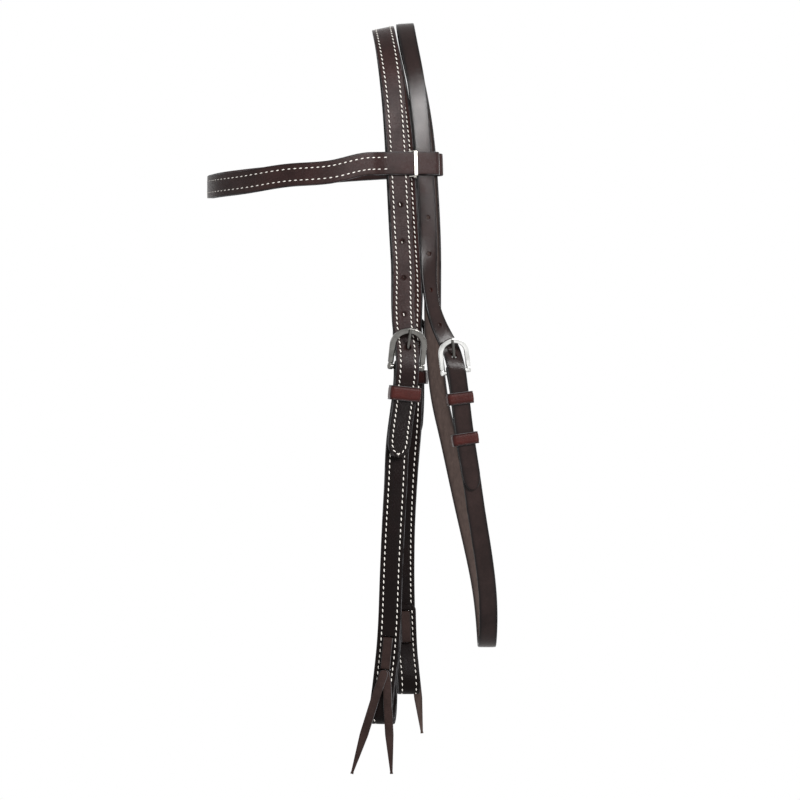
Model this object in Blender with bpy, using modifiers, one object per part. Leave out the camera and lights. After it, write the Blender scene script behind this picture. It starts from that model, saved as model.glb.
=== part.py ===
"""Western headstall: doubled crown and cheek straps, browband, throatlatch, buckles, keepers and bit ties.

X points to the rear of the horse, Y away from the near side, Z up. The origin is the crown's underside
at the poll. Near pieces lie at negative Y, far pieces at positive Y.
"""
import math

import bmesh
import bpy
import numpy as np
from mathutils import Matrix

MM = 0.001

# Leather stock
STRAP_WIDTH = 15.9 * MM
THROAT_WIDTH = 12.7 * MM
PLY = 2.15 * MM
KEEPER_PLY = 1.8 * MM
LACE_WIDTH = 6.6 * MM
LACE_PLY = 1.3 * MM
FIT = 0.3 * MM
SLACK = 0.5 * MM
BROW_SLACK = 0.9 * MM
SIDE_SLACK = 1.1 * MM

# The hang of the straps on a peg
HEAD_HALF = 45.0 * MM
CHEEK_HALF = 46.0 * MM
ARCH_DROP = 72.0 * MM
SLEEVE_DROP = 156.0 * MM
CROWN_X = 8.6 * MM
CROWN_LEAN = 4.4 * MM
FAR_CROWN_LEAN = 5.2 * MM
ARCH_POWER = 1.4
ARCH_PULL_SHARE = 0.93
ENTRY_POWER = 0.15
THROAT_STEP = 19.3 * MM
FAR_STEP = 5.8 * MM
FAR_THROAT_STEP = 3.8 * MM
THROAT_ARCH_PULL = 1.1 * MM
THROAT_SLEEVE_PULL = 0.6 * MM
POLL_THROAT_X = 15.3 * MM
POLL_THROAT_RISE = 4.6 * MM
NEAR_BAR_DROP = 237.0 * MM
FAR_BAR_DROP = 225.0 * MM
NEAR_BAR_X = 15.9 * MM
FAR_BAR_X = 19.6 * MM
CHEEK_LENGTH = 248.5 * MM
TURN_DEG = 21.0

# Cheek bit loops
LOOP_HALF = 7.4 * MM
LOOP_CLOSE_SHARE = 0.72
LOOP_BULGE = 0.75 * LOOP_HALF
LOOP_REACH = 24.0 * MM
TIE_TOP = 59.8 * MM
TIE_RUN = 21.5 * MM
SLOT_WIDE = 7.6 * MM
SLOT_TALL = 2.4 * MM
SLOT_DEEP = 36.8 * MM

# Billets and punched holes
HOLE_RADIUS = 1.9 * MM
THROAT_HOLE_RADIUS = 1.4 * MM
SLANT_LEAD = 4.5 * MM
HOLE_PITCH = 25.4 * MM
HOLE_COUNT = 4
BILLET = 63.0 * MM
BILLET_TIP = 12.0 * MM
BILLET_NOSE = 1.2 * MM
THROAT_BILLET = 83.0 * MM
THROAT_CHAPE = 76.0 * MM
SETTLE = 12.5 * MM
CHAPE_RUN = 9.6 * MM
HOLE_RISE_SHARE = 0.42
BELOW_SLEEVE_SHARE = 0.12

# Buckles
BAR_RADIUS = 1.75 * MM
TONGUE_RADIUS = 1.05 * MM
FRAME_THICK = 2.8 * MM
FRAME_ROUND = 0.7 * MM
CHEEK_FRAME_BAND = 4.0 * MM
CHEEK_FRAME_TALL = 28.4 * MM
THROAT_FRAME_BAND = 3.3 * MM
THROAT_FRAME_TALL = 24.2 * MM
FRAME_TILT_DEG = 17.0

# Browband
BROW_REACH = 123.0 * MM
BROW_SPREAD = 59.0 * MM
BROW_DROP = 95.5 * MM
BROW_FALL = 14.0 * MM
BROW_FAR_RISE = 5.0 * MM
BROW_MOUTH = 10.5 * MM
BROW_LAP = 24.0 * MM
DIVIDER_WIDE = 2.5 * MM
DIVIDER_PLY = 0.6 * MM
NEAR_DIVIDER_AT = 11.7 * MM
FAR_DIVIDER_AT = 10.0 * MM
DIVIDER_BEVEL = 0.12 * MM

# Throatlatch loop
THROAT_BOTTOM = 434.6 * MM
THROAT_BAR_X = 50.7 * MM
THROAT_BAR_DROP = 240.0 * MM
THROAT_BOTTOM_X = 73.8 * MM
THROAT_HALF = 40.0 * MM

# Keepers
KEEPER_TALL = 10.0 * MM
KEEPER_DROP = 18.5 * MM
THROAT_KEEPER_TALL = 8.4 * MM
THROAT_KEEPER_DROP = 19.0 * MM
SLIDER_DROP = 47.5 * MM
KEEPER_CORNER = 2.5 * MM
KEEPER_BEVEL = 0.3 * MM

# Tie tails
NEAR_FRONT_TAIL = 72.8 * MM
NEAR_REAR_TAIL = 70.1 * MM
FAR_FRONT_TAIL = 58.0 * MM
FAR_REAR_TAIL = 67.5 * MM
NEAR_FRONT_SWEEP = -15.5 * MM
NEAR_FRONT_KICK = 0.0 * MM
NEAR_REAR_SWEEP = 10.5 * MM
NEAR_REAR_KICK = 1.3 * MM
FAR_FRONT_SWEEP = -12.0 * MM
FAR_FRONT_KICK = -2.0 * MM
FAR_REAR_SWEEP = 4.7 * MM
FAR_REAR_KICK = 6.0 * MM
TAIL_TIP = 2.2 * MM
TAIL_GAP = 0.7 * MM
TAIL_ROOT = 5.94 * MM
TAIL_PIVOT = 3.0 * MM
TAIL_KICK_SHARE = 0.1
TAIL_TAPER_SHARES = (0.62, 0.75)

# Steps along the straps
STEP = 5.0 * MM
FINE_STEP = 1.6 * MM
OVERRUN = 6.0 * MM

DOUBLE = 2 * PLY + FIT
HALF_DOUBLE = DOUBLE / 2
PLY_OFFSET = (PLY + FIT) / 2
WRAP_RADIUS = BAR_RADIUS + FIT + PLY / 2
HOOK_RADIUS = BAR_RADIUS + FIT + TONGUE_RADIUS
TIE_DOWN = CHEEK_LENGTH - TIE_TOP
TIE_LAY = HALF_DOUBLE + 2 * FIT + LACE_PLY / 2
# A billet over its buckle: up as a share of the frame's height, outward as a share of the billet's lay
# over the bar, across as a share of twice the frame's band, and turn as a share of the turn under the rim
NEAR_OVER_SHARES = ((0.0, 1.0, 0.0, 0), (0.32, 0.68, -0.04, 0), (0.63, 0.14, -0.15, 0),
                    (0.95, -0.1, -0.34, 0))
FAR_OVER_SHARES = ((0.0, 1.0, 0.0, 0), (0.32, 0.68, 0.04, 0), (0.63, 0.14, 0.13, 0), (0.95, -0.1, 0.26, 0))
THROAT_OVER_SHARES = ((0.0, 1.0, 0.0, 0), (0.32, 0.68, -0.04, 0.1), (0.63, 0.14, -0.16, 0.2),
                      (0.95, -0.1, -0.5, 1))
RIM_TURN_DEG = -16.0
LEATHER = (0.045, 0.027, 0.024, 1.0)
LINING = (0.065, 0.050, 0.045, 1.0)
KEEPER = (0.075, 0.022, 0.018, 1.0)
NICKEL = (0.62, 0.60, 0.57, 1.0)
GUNMETAL = (0.12, 0.11, 0.11, 1.0)
SIDES = (("near", -1), ("far", 1))


def collection(name):
    made = bpy.data.collections.new(name)
    bpy.context.scene.collection.children.link(made)
    return made


for old in list(bpy.data.objects):
    bpy.data.objects.remove(old, do_unlink=True)
PARTS = collection("western_headstall")
CUTTERS = collection("cutters")


def material(name, colour, roughness, metallic=0.0):
    made = bpy.data.materials.new(name)
    made.use_nodes = True
    shader = made.node_tree.nodes["Principled BSDF"]
    shader.inputs["Base Color"].default_value = colour
    shader.inputs["Roughness"].default_value = roughness
    shader.inputs["Metallic"].default_value = metallic
    return made


def unit(vectors):
    return vectors / np.linalg.norm(vectors, axis=-1, keepdims=True)


def ease(share):
    """A smooth step from 0 to 1."""
    share = np.clip(share, 0, 1)
    return share * share * (3 - 2 * share)


class Route:
    """A natural cubic spline through stations of x, y, z and turn in degrees, measured along its chords."""

    def __init__(self, stations, width_axis=(1, 0, 0)):
        self.at = np.array(stations, float)
        chords = np.linalg.norm(np.diff(self.at[:, :3], axis=0), axis=1)
        self.knots = np.concatenate(([0], np.cumsum(chords)))
        self.length = self.knots[-1]
        self.width_axis = np.array(width_axis, float)
        count = len(self.at)
        span = np.diff(self.knots)
        matrix = np.eye(count)
        right = np.zeros((count, 4))
        slopes = np.diff(self.at, axis=0) / span[:, None]
        for i in range(1, count - 1):
            matrix[i, i - 1:i + 2] = span[i - 1], 2 * (span[i - 1] + span[i]), span[i]
            right[i] = 6 * (slopes[i] - slopes[i - 1])
        self.curve = np.linalg.solve(matrix, right)

    def value(self, t):
        t = np.atleast_1d(np.asarray(t, float))
        i = np.clip(np.searchsorted(self.knots, t) - 1, 0, len(self.knots) - 2)
        span = (self.knots[i + 1] - self.knots[i])[:, None]
        a = (self.knots[i + 1][:, None] - t[:, None]) / span
        b = 1 - a
        bend = ((a**3 - a) * self.curve[i] + (b**3 - b) * self.curve[i + 1]) * span**2 / 6
        return a * self.at[i] + b * self.at[i + 1] + bend

    def frame(self, t):
        """Points, directions of travel, width directions and outward directions at the lengths t."""
        nudge = self.length * 1e-5
        here = self.value(t)
        travel = unit(self.value(np.asarray(t) + nudge)[:, :3] - self.value(np.asarray(t) - nudge)[:, :3])
        wide = unit(self.width_axis - (travel @ self.width_axis)[:, None] * travel)
        turn = np.radians(here[:, 3:4])
        wide = wide * np.cos(turn) + np.cross(travel, wide) * np.sin(turn)
        return here[:, :3], travel, wide, np.cross(wide, travel)

    def find_drop(self, drop, side):
        """The length at which the route lies the given drop below the origin, on the near or far side."""
        t = np.linspace(0, self.length, 4000)
        points = self.value(t)
        wrong_side = points[:, 1] * side < 0
        return t[np.argmin(np.abs(points[:, 2] + drop) + wrong_side * self.length)]


def lengths(start, end, step):
    return np.linspace(start, end, max(2, int(round(abs(end - start) / step)) + 1))


def link(name, mesh, look, home=None):
    made = bpy.data.objects.new(name, mesh)
    (home or PARTS).objects.link(made)
    if look:
        mesh.materials.append(look)
    return made


def ribbon(name, centre, wide, half, look, thickness=PLY, closed=False):
    """A flat strap: a grid bent so that its rows follow the centre points, then given its thickness."""
    rows = len(centre)
    half = np.broadcast_to(half, rows)
    bm = bmesh.new()
    bmesh.ops.create_grid(bm, x_segments=rows - 1, y_segments=1, size=1)
    bm.verts.ensure_lookup_table()
    order = sorted(bm.verts, key=lambda v: (round(v.co.x, 4), round(v.co.y, 4)))
    for index, vert in enumerate(order):
        row, edge = divmod(index, 2)
        vert.co = centre[row] + wide[row] * half[row] * (2 * edge - 1)
    if closed:
        bmesh.ops.remove_doubles(bm, verts=order[:2] + order[-2:], dist=FIT / 10)
    mesh = bpy.data.meshes.new(name)
    bm.to_mesh(mesh)
    bm.free()
    made = link(name, mesh, look)
    wall = made.modifiers.new("thickness", "SOLIDIFY")
    wall.thickness = thickness
    wall.offset = 0
    wall.use_even_offset = True
    return made


def cut(target, cutter):
    cutter.hide_render = True
    cutter.display_type = "WIRE"
    made = target.modifiers.new("cut", "BOOLEAN")
    made.operation = "DIFFERENCE"
    made.solver = "EXACT"
    made.object = cutter


def axes_matrix(point, x_axis, y_axis, z_axis):
    made = Matrix.Identity(4)
    for column, axis in enumerate((x_axis, y_axis, z_axis, point)):
        for row in range(3):
            made[row][column] = float(axis[row])
    return made


def punch(name, point, wide, travel, out, radius=HOLE_RADIUS, depth=None):
    """A round punch through a strap, along its outward direction."""
    bm = bmesh.new()
    length = depth or DOUBLE + 2 * OVERRUN
    bmesh.ops.create_cone(bm, cap_ends=True, segments=16, radius1=radius, radius2=radius, depth=length)
    mesh = bpy.data.meshes.new(name)
    bm.to_mesh(mesh)
    bm.free()
    made = link(name, mesh, None, CUTTERS)
    made.matrix_world = axes_matrix(point, wide, -np.asarray(travel), out)
    return made


def block(name, point, wide, out, travel, size):
    """A slot or notch cutter: a box with its sides along the strap's own directions."""
    bm = bmesh.new()
    bmesh.ops.create_cube(bm, size=1)
    bmesh.ops.scale(bm, verts=bm.verts, vec=size)
    mesh = bpy.data.meshes.new(name)
    bm.to_mesh(mesh)
    bm.free()
    made = link(name, mesh, None, CUTTERS)
    made.matrix_world = axes_matrix(point, wide, out, np.cross(wide, out))
    return made


def tip_half(distance, width, tip, nose):
    """Half the width of a billet at each distance from its tip: a rounded ogive."""
    share = np.clip(distance / tip, 0, 1)
    return nose + (width / 2 - nose) * np.sqrt(1 - (1 - share) ** 2)


def tip_steps(start, end, tip, step):
    """Rows along a strap, closer together in the pointed tip at its start."""
    return np.concatenate((start + tip * np.linspace(0, 1, 8)[:-1] ** 2, lengths(start + tip, end, step)))


def set_origin(made, point):
    """Moves the object's origin to a point on its joint's axis and leaves its shape where it is."""
    made.data.transform(Matrix.Translation([-float(c) for c in point]))
    made.location = point
    return made


def meshed(name, curve, look):
    """The curve as a closed mesh, with its caps welded to its sides."""
    shape = bpy.data.objects.new(name + "_curve", curve)
    PARTS.objects.link(shape)
    bpy.context.view_layer.update()
    mesh = bpy.data.meshes.new_from_object(shape.evaluated_get(bpy.context.evaluated_depsgraph_get()))
    bpy.data.objects.remove(shape, do_unlink=True)
    bm = bmesh.new()
    bm.from_mesh(mesh)
    bmesh.ops.remove_doubles(bm, verts=bm.verts, dist=FIT / 30)
    bmesh.ops.recalc_face_normals(bm, faces=bm.faces)
    bm.to_mesh(mesh)
    bm.free()
    mesh.materials.clear()
    return link(name, mesh, look)


def outline_plate(name, outlines, tall, look, matrix, bevel=0.0):
    """A flat plate or ring: its outlines are filled, given their height and rounded at the edges."""
    curve = bpy.data.curves.new(name, "CURVE")
    curve.dimensions = "2D"
    curve.fill_mode = "BOTH"
    curve.extrude = tall / 2 - bevel
    curve.bevel_depth = bevel
    curve.bevel_resolution = 1
    curve.offset = -bevel
    for points in outlines:
        spline = curve.splines.new("POLY")
        spline.points.add(len(points) - 1)
        for spot, (x, y) in zip(spline.points, points):
            spot.co = (x, y, 0, 1)
        spline.use_cyclic_u = True
    made = meshed(name, curve, look)
    made.matrix_world = matrix
    return made


def rounded_box(width, tall, radius, steps=4):
    """A rounded rectangle's outline."""
    radius = min(radius, width / 2.01, tall / 2.01)
    points = []
    for corner in range(4):
        middle_x = (width / 2 - radius) * (1 if corner in (0, 3) else -1)
        middle_y = (tall / 2 - radius) * (1 if corner < 2 else -1)
        for step in range(steps + 1):
            angle = math.pi / 2 * (corner + step / steps)
            points.append((middle_x + radius * math.cos(angle), middle_y + radius * math.sin(angle)))
    return points


def tube(name, points, radius, look):
    """A round wire along its points, closed at both ends."""
    curve = bpy.data.curves.new(name, "CURVE")
    curve.dimensions = "3D"
    curve.bevel_depth = radius
    curve.bevel_resolution = 2
    curve.use_fill_caps = True
    spline = curve.splines.new("POLY")
    spline.points.add(len(points) - 1)
    for spot, point in zip(spline.points, points):
        spot.co = (*point, 1)
    return meshed(name, curve, look)


LEATHER_LOOK = material("oiled_leather", LEATHER, 0.45)
LINING_LOOK = material("flesh_side_leather", LINING, 0.8)
KEEPER_LOOK = material("keeper_leather", KEEPER, 0.4)
LACE_LOOK = material("lace_leather", (0.055, 0.03, 0.025, 1.0), 0.7)
FRAME_LOOK = material("polished_nickel", NICKEL, 0.2, 1.0)
TONGUE_LOOK = material("dark_steel", GUNMETAL, 0.35, 1.0)
DIVIDER_LOOK = material("bright_nickel", (0.85, 0.83, 0.78, 1.0), 0.3, 1.0)


class Cheek:
    """One cheek strap's middle line, measured down from its buckle bar, and its own directions."""

    # drop as a share of the cheek length, X as a share of the strap width, inward step as a share of the
    # loop's half depth, and turn in degrees, from the bar down and round the bit loop
    near_shares = (
        (0.000, 0.000, 0.00, 9), (0.073, -0.085, 0.00, 9), (0.207, -0.350, 0.00, 9),
        (0.316, -0.440, 0.00, 6), (0.400, -0.510, 0.00, 4), (0.596, -0.648, 0.00, -2),
        (0.708, -0.704, 0.00, -6), (0.800, -0.800, 0.00, -9), (0.860, -0.900, 0.00, -10),
        (0.905, -0.960, -0.30, -10), (0.950, -1.010, -0.66, -10), (0.982, -1.020, -0.30, -7),
        (0.991, -1.020, 0.36, 0), (0.982, -1.020, 1.02, 7), (0.950, -1.010, 1.38, 10),
        (0.905, -0.960, 1.02, 10), (0.860, -0.900, 0.72, 10), (0.800, -0.800, 0.72, 9),
        (0.739, -0.740, 0.72, 6),
    )
    far_shares = (
        (0.000, 0.000, 0.00, 9), (0.073, 0.060, 0.00, 9), (0.207, 0.010, 0.00, 9),
        (0.316, -0.130, 0.00, 6), (0.400, -0.220, 0.00, 4), (0.596, -0.330, 0.00, -2),
        (0.708, -0.325, 0.00, -4), (0.800, -0.290, 0.00, -6), (0.860, -0.250, 0.00, -6),
        (0.905, -0.210, -0.30, -6), (0.950, -0.160, -0.66, -6), (0.982, -0.130, -0.30, -4),
        (0.991, -0.120, 0.36, 0), (0.982, -0.130, 1.02, 4), (0.950, -0.160, 1.38, 6),
        (0.905, -0.210, 1.02, 6), (0.860, -0.250, 0.72, 6), (0.800, -0.290, 0.72, 6),
        (0.739, -0.315, 0.72, 5),
    )

    def __init__(self, side):
        self.side = side
        bar_x, bar_drop, shares = NEAR_BAR_X, NEAR_BAR_DROP, self.near_shares
        if side > 0:
            bar_x, bar_drop, shares = FAR_BAR_X, FAR_BAR_DROP, self.far_shares
        stations = []
        loop_turn = shares[-3][3]
        for drop, shift, inward, turn in shares:
            x = bar_x + shift * STRAP_WIDTH + inward * LOOP_HALF * math.sin(math.radians(loop_turn))
            y = side * (CHEEK_HALF - inward * LOOP_HALF)
            z = -bar_drop - drop * CHEEK_LENGTH
            stations.append((x, y, z, turn))
        if side < 0:
            stations.reverse()
        self.route = Route(stations)

    def frame(self, down):
        """Points, upward, width and outward directions at each length down from the bar."""
        down = np.atleast_1d(np.asarray(down, float))
        t = self.route.length - down if self.side < 0 else down
        point, travel, wide, out = self.route.frame(t)
        return point, travel * -self.side, wide, out

    def turn(self, down):
        return self.route.value(self.route.length - down if self.side < 0 else down)[0, 3]

    def spot(self, up, outward, across=0.0):
        """A point near the buckle: up from the bar, outward from it and across it."""
        point, lift, wide, out = (v[0] for v in self.frame(0.0))
        return point + lift * up + out * outward + wide * across


def chape_lay(down):
    """How far each ply stands off the middle line as the strap opens round the buckle bar."""
    return PLY_OFFSET + (WRAP_RADIUS - PLY_OFFSET) * (1 - ease(np.asarray(down) / CHAPE_RUN))


def wrap(frame, arc_steps=12):
    """The half turn of a ply over the buckle bar, from the outer face to the inner one."""
    point, lift, wide, out = (v[0] for v in frame(0.0))
    angle = np.linspace(0, math.pi, arc_steps + 1)[1:-1, None]
    turned = point + WRAP_RADIUS * (out * np.cos(angle) + lift * np.sin(angle))
    return turned, np.tile(wide, (arc_steps - 1, 1))


def billet_lay(thickness):
    """The height of a billet's middle over the buckle bar: over the wrapped chape and the tongue's hook."""
    return max(WRAP_RADIUS + PLY / 2, HOOK_RADIUS + TONGUE_RADIUS) + FIT + thickness / 2


def buckle(label, near_bar, strap_width, band, tall, look):
    """A horseshoe frame with its round bar, and a wire tongue hooked over the bar that rests on the rim."""
    point, lift, wide, out = near_bar
    tilt = math.radians(FRAME_TILT_DEG)
    slope = lift * math.cos(tilt) + out * math.sin(tilt)
    face = np.cross(wide, slope) * np.sign(np.cross(wide, lift) @ out)
    inner_half = strap_width / 2 + SIDE_SLACK
    outer_half = inner_half + band
    shoulder = tall - outer_half
    leg = inner_half + band / 2
    arch = np.radians(np.arange(0, 181, 12))
    heel = np.radians(np.arange(180, 361, 30))
    outline = [(outer_half * math.cos(a), shoulder + outer_half * math.sin(a)) for a in arch]
    outline += [(-leg + band / 2 * math.cos(a), band / 2 * math.sin(a)) for a in heel]
    outline += [(-inner_half * math.cos(a), shoulder + inner_half * math.sin(a)) for a in arch]
    outline += [(leg + band / 2 * math.cos(a), band / 2 * math.sin(a)) for a in heel]
    home = axes_matrix(point, wide, slope, np.cross(wide, slope))
    frame = outline_plate(label + "_buckle_frame", [outline], FRAME_THICK, look, home, FRAME_ROUND)
    bar = punch(label + "_bar", point, lift, out, wide, BAR_RADIUS, 2 * leg)
    bar.hide_render = True
    bar.display_type = "WIRE"
    join = frame.modifiers.new("bar", "BOOLEAN")
    join.operation = "UNION"
    join.solver = "EXACT"
    join.object = bar

    rest = slope * (tall - band) + face * (FRAME_THICK / 2 + FIT + TONGUE_RADIUS)
    reach = math.hypot(rest @ lift, rest @ out)
    climb = math.atan2(rest @ out, rest @ lift) + math.asin(HOOK_RADIUS / reach)
    around = climb - math.pi / 2 + np.radians(np.linspace(-285, 0, 16))
    hook = HOOK_RADIUS * (np.cos(around)[:, None] * lift + np.sin(around)[:, None] * out)
    prong = rest - hook[-1]
    run = hook[-1] + prong * np.linspace(0, 1 + band / np.linalg.norm(prong), 6)[1:, None]
    path = point + np.concatenate((hook, run))
    set_origin(tube(label + "_buckle_tongue", path, TONGUE_RADIUS, TONGUE_LOOK), point)
    return point + hook[-1], unit(prong)


def tongue_hole(name, start, along, wide):
    """The billet's hole where the tongue passes through it, slanted along the tongue."""
    run = CHEEK_FRAME_TALL - 2 * SLANT_LEAD
    return punch(name, start + along * CHEEK_FRAME_TALL / 2, wide, np.cross(along, wide), along, HOLE_RADIUS,
                 run)


def keeper(name, line, down, tall, strap_width, middle, inner_thick):
    """A leather loop round the strap and its billet: its middle stands off the strap's line."""
    point, lift, wide, out = (v[0] for v in line.frame(down))
    inner = (strap_width + 2 * SIDE_SLACK, inner_thick + 2 * SLACK)
    outer = (inner[0] + 2 * KEEPER_PLY, inner[1] + 2 * KEEPER_PLY)
    home = axes_matrix(point + out * middle, wide, out, np.cross(wide, out))
    return outline_plate(name, [rounded_box(*outer, KEEPER_CORNER), rounded_box(*inner, KEEPER_PLY / 2)],
                         tall, KEEPER_LOOK, home, KEEPER_BEVEL)


def cheek_strap(label, line):
    """One long ply folded over the buckle bar, its two layers turned up together inside as the bit loop."""
    end = line.route.length
    rows = np.concatenate((lengths(0, OVERRUN * 2, FINE_STEP), lengths(OVERRUN * 2, TIE_DOWN, STEP)[1:],
                           lengths(TIE_DOWN, end, FINE_STEP * 1.6)[1:]))
    point, lift, wide, out = line.frame(rows)
    lay = chape_lay(rows)[:, None]
    turn, turn_wide = wrap(line.frame)
    centre = np.concatenate(((point + out * lay)[::-1], turn, point - out * lay))
    across = np.concatenate((wide[::-1], turn_wide, wide))
    left = end - rows
    half = tip_half(left, STRAP_WIDTH, STRAP_WIDTH / 4, STRAP_WIDTH / 3)
    halves = np.concatenate((half[::-1], np.full(len(turn), STRAP_WIDTH / 2), half))
    strap = ribbon(label + "_cheek_strap", centre, across, halves, LEATHER_LOOK)
    for place, down in (("upper", TIE_DOWN), ("lower", TIE_DOWN + TIE_RUN)):
        point, lift, wide, out = (v[0] for v in line.frame(down))
        slot = (SLOT_WIDE, SLOT_DEEP, SLOT_TALL)
        cut(strap, block(f"{label}_{place}_slot", point, wide, out, lift, slot))
    return strap


def tie_frame(line):
    """The tie's place: its two slots, and the directions down, outward and across between them."""
    upper, lift, wide, out = (v[0] for v in line.frame(TIE_DOWN))
    lower = line.frame(TIE_DOWN + TIE_RUN)[0][0]
    down = unit(lower - upper)
    face = unit(out - down * (out @ down))
    across = np.cross(down, face)
    return upper, lower, down, face, across * np.sign(across @ wide)


def tie_band(label, line):
    """The lace that goes in at the lower slot and comes out at the upper one, closed behind the fold-back."""
    upper, lower, down, face, across = tie_frame(line)
    run = np.linalg.norm(lower - upper)
    outer = TIE_LAY + LACE_PLY / 2
    ends = TIE_LAY + LACE_PLY / 4
    back = -(HALF_DOUBLE + LOOP_CLOSE_SHARE * LOOP_HALF + TIE_LAY)
    corner = LACE_PLY * 0.8
    profile = [(0, back + corner), (0, ends - corner), (corner, ends), (run * 0.3, outer),
               (run - corner, outer), (run, outer - corner), (run, back + corner), (run - corner, back),
               (corner, back)]
    soft = []
    for i, here in enumerate(profile):
        here = np.array(here)
        for other in (np.array(profile[i - 1]), np.array(profile[(i + 1) % len(profile)])):
            soft.append(here + unit(other - here) * min(corner / 3, np.linalg.norm(other - here) / 3))
    centre = np.array([upper + down * u + face * o for u, o in soft + soft[:1]])
    return ribbon(label + "_tie_band", centre, np.tile(across, (len(centre), 1)), LACE_WIDTH / 2, LACE_LOOK,
                  LACE_PLY, True)


def tie_tail(name, line, layer, length, sweep, kick):
    """A flat tapered thong from under the tie band: it hangs outside the bit loop, swept to one side."""
    upper, lower, down, face, across = tie_frame(line)
    share = np.concatenate(([0, 0.006, 0.02], np.linspace(0.04, 1, 20)))[:, None]
    start = lower + down * (LACE_PLY / 2 + FIT)
    lay = TIE_LAY + layer * (LACE_PLY + TAIL_GAP) + LOOP_BULGE * ease(share * length / LOOP_REACH)
    aside = sweep * share + kick * (1 - np.exp(-(share / TAIL_KICK_SHARE) ** 2))
    centre = start + down * length * share + across * aside + face * lay
    taper_from, taper_by = TAIL_TAPER_SHARES
    half = TAIL_ROOT / 2 * (1 - taper_by * np.clip((share[:, 0] - taper_from) / (1 - taper_from), 0, 1))
    half[:3] *= np.sqrt(1 - (1 - np.array([0.004, 0.3, 0.6])) ** 2)
    half[-1] = TAIL_TIP / 2
    travel = unit(np.gradient(centre, axis=0))
    wide = unit(np.cross(travel, face))
    tail = ribbon(name, centre, wide * np.sign(wide @ across)[:, None], half, LACE_LOOK, LACE_PLY)
    return set_origin(tail, start + down * TAIL_PIVOT)


cheeks = {label: Cheek(side) for label, side in SIDES}


def over_buckle(line, over_shares, thickness, tall, band, beside, tip_length):
    """A billet's middle from its tip up the outside of the strap, over the bar and out under the rim."""
    over = billet_lay(thickness)
    stations = []
    for down, lay in ((tip_length, beside), (tip_length * 0.7, beside), (tip_length * 0.42, beside),
                      (SETTLE * 1.5, beside + FIT / 2), (SETTLE, beside + FIT), (SETTLE * 0.4, over - FIT)):
        point, lift, wide, out = (v[0] for v in line.frame(down))
        stations.append((*(point + out * lay), line.turn(down)))
    turn = stations[-1][3]
    for up_share, out_share, across_share, turn_share in over_shares:
        spot = line.spot(tall * up_share, over * out_share, 2 * band * across_share)
        stations.append((*spot, turn + RIM_TURN_DEG * turn_share))
    return stations


def crown_stations():
    """The crown's middle: up from the near billet tip, over the poll and down to the far billet tip."""
    halves = []
    for label, side in SIDES:
        bar_drop = NEAR_BAR_DROP if side < 0 else FAR_BAR_DROP
        step = 0 if side < 0 else FAR_STEP
        over_shares = NEAR_OVER_SHARES if side < 0 else FAR_OVER_SHARES
        stations = over_buckle(cheeks[label], over_shares, DOUBLE, CHEEK_FRAME_TALL, CHEEK_FRAME_BAND,
                               DOUBLE + FIT, BILLET)
        lean = (CROWN_LEAN if side < 0 else FAR_CROWN_LEAN) / (SLEEVE_DROP - ARCH_DROP)
        for drop in (SLEEVE_DROP + BELOW_SLEEVE_SHARE * (bar_drop - SLEEVE_DROP), SLEEVE_DROP,
                     (SLEEVE_DROP + ARCH_DROP) / 2, ARCH_DROP):
            x = CROWN_X + step + lean * (drop - ARCH_DROP)
            stations.append((x, side * HEAD_HALF, -drop, TURN_DEG))
        for angle, turn in ((28, 14), (58, -4)):
            rise = (ARCH_DROP + HALF_DOUBLE) * math.sin(math.radians(angle))
            x = (CROWN_X + step) * (1 - ARCH_PULL_SHARE * (rise / ARCH_DROP) ** ARCH_POWER)
            stations.append((x, side * HEAD_HALF * math.cos(math.radians(angle)), rise - ARCH_DROP, turn))
        halves.append(stations)
    return halves[0] + [(0, 0, HALF_DOUBLE, -12)] + halves[1][::-1]


def crown():
    """The crown's face and lining plies, with their billets."""
    route = Route(crown_stations())
    plies = []
    for name, lay, look in (("crown_face", PLY_OFFSET, LEATHER_LOOK),
                            ("crown_lining", -PLY_OFFSET, LINING_LOOK)):
        near_rows = tip_steps(0, (route.length - STEP) / 2, BILLET_TIP, STEP)
        rows = np.concatenate((near_rows, route.length - near_rows[::-1]))
        point, travel, wide, out = route.frame(rows)
        from_tip = np.minimum(rows, route.length - rows)
        half = tip_half(from_tip, STRAP_WIDTH, BILLET_TIP, BILLET_NOSE)
        plies.append(ribbon(name, point + out * lay, wide, half, look))
    return route, plies


def punch_row(label, straps, route, start, toward, radius=HOLE_RADIUS):
    """The spare holes along a billet, a pitch apart from the tongue's hole."""
    for count in range(1, HOLE_COUNT + 1):
        point, travel, wide, out = (v[0] for v in route.frame(start + toward * count * HOLE_PITCH))
        hole = punch(f"{label}_hole_{count}", point, wide, travel, out, radius)
        for strap in straps:
            cut(strap, hole)


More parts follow.
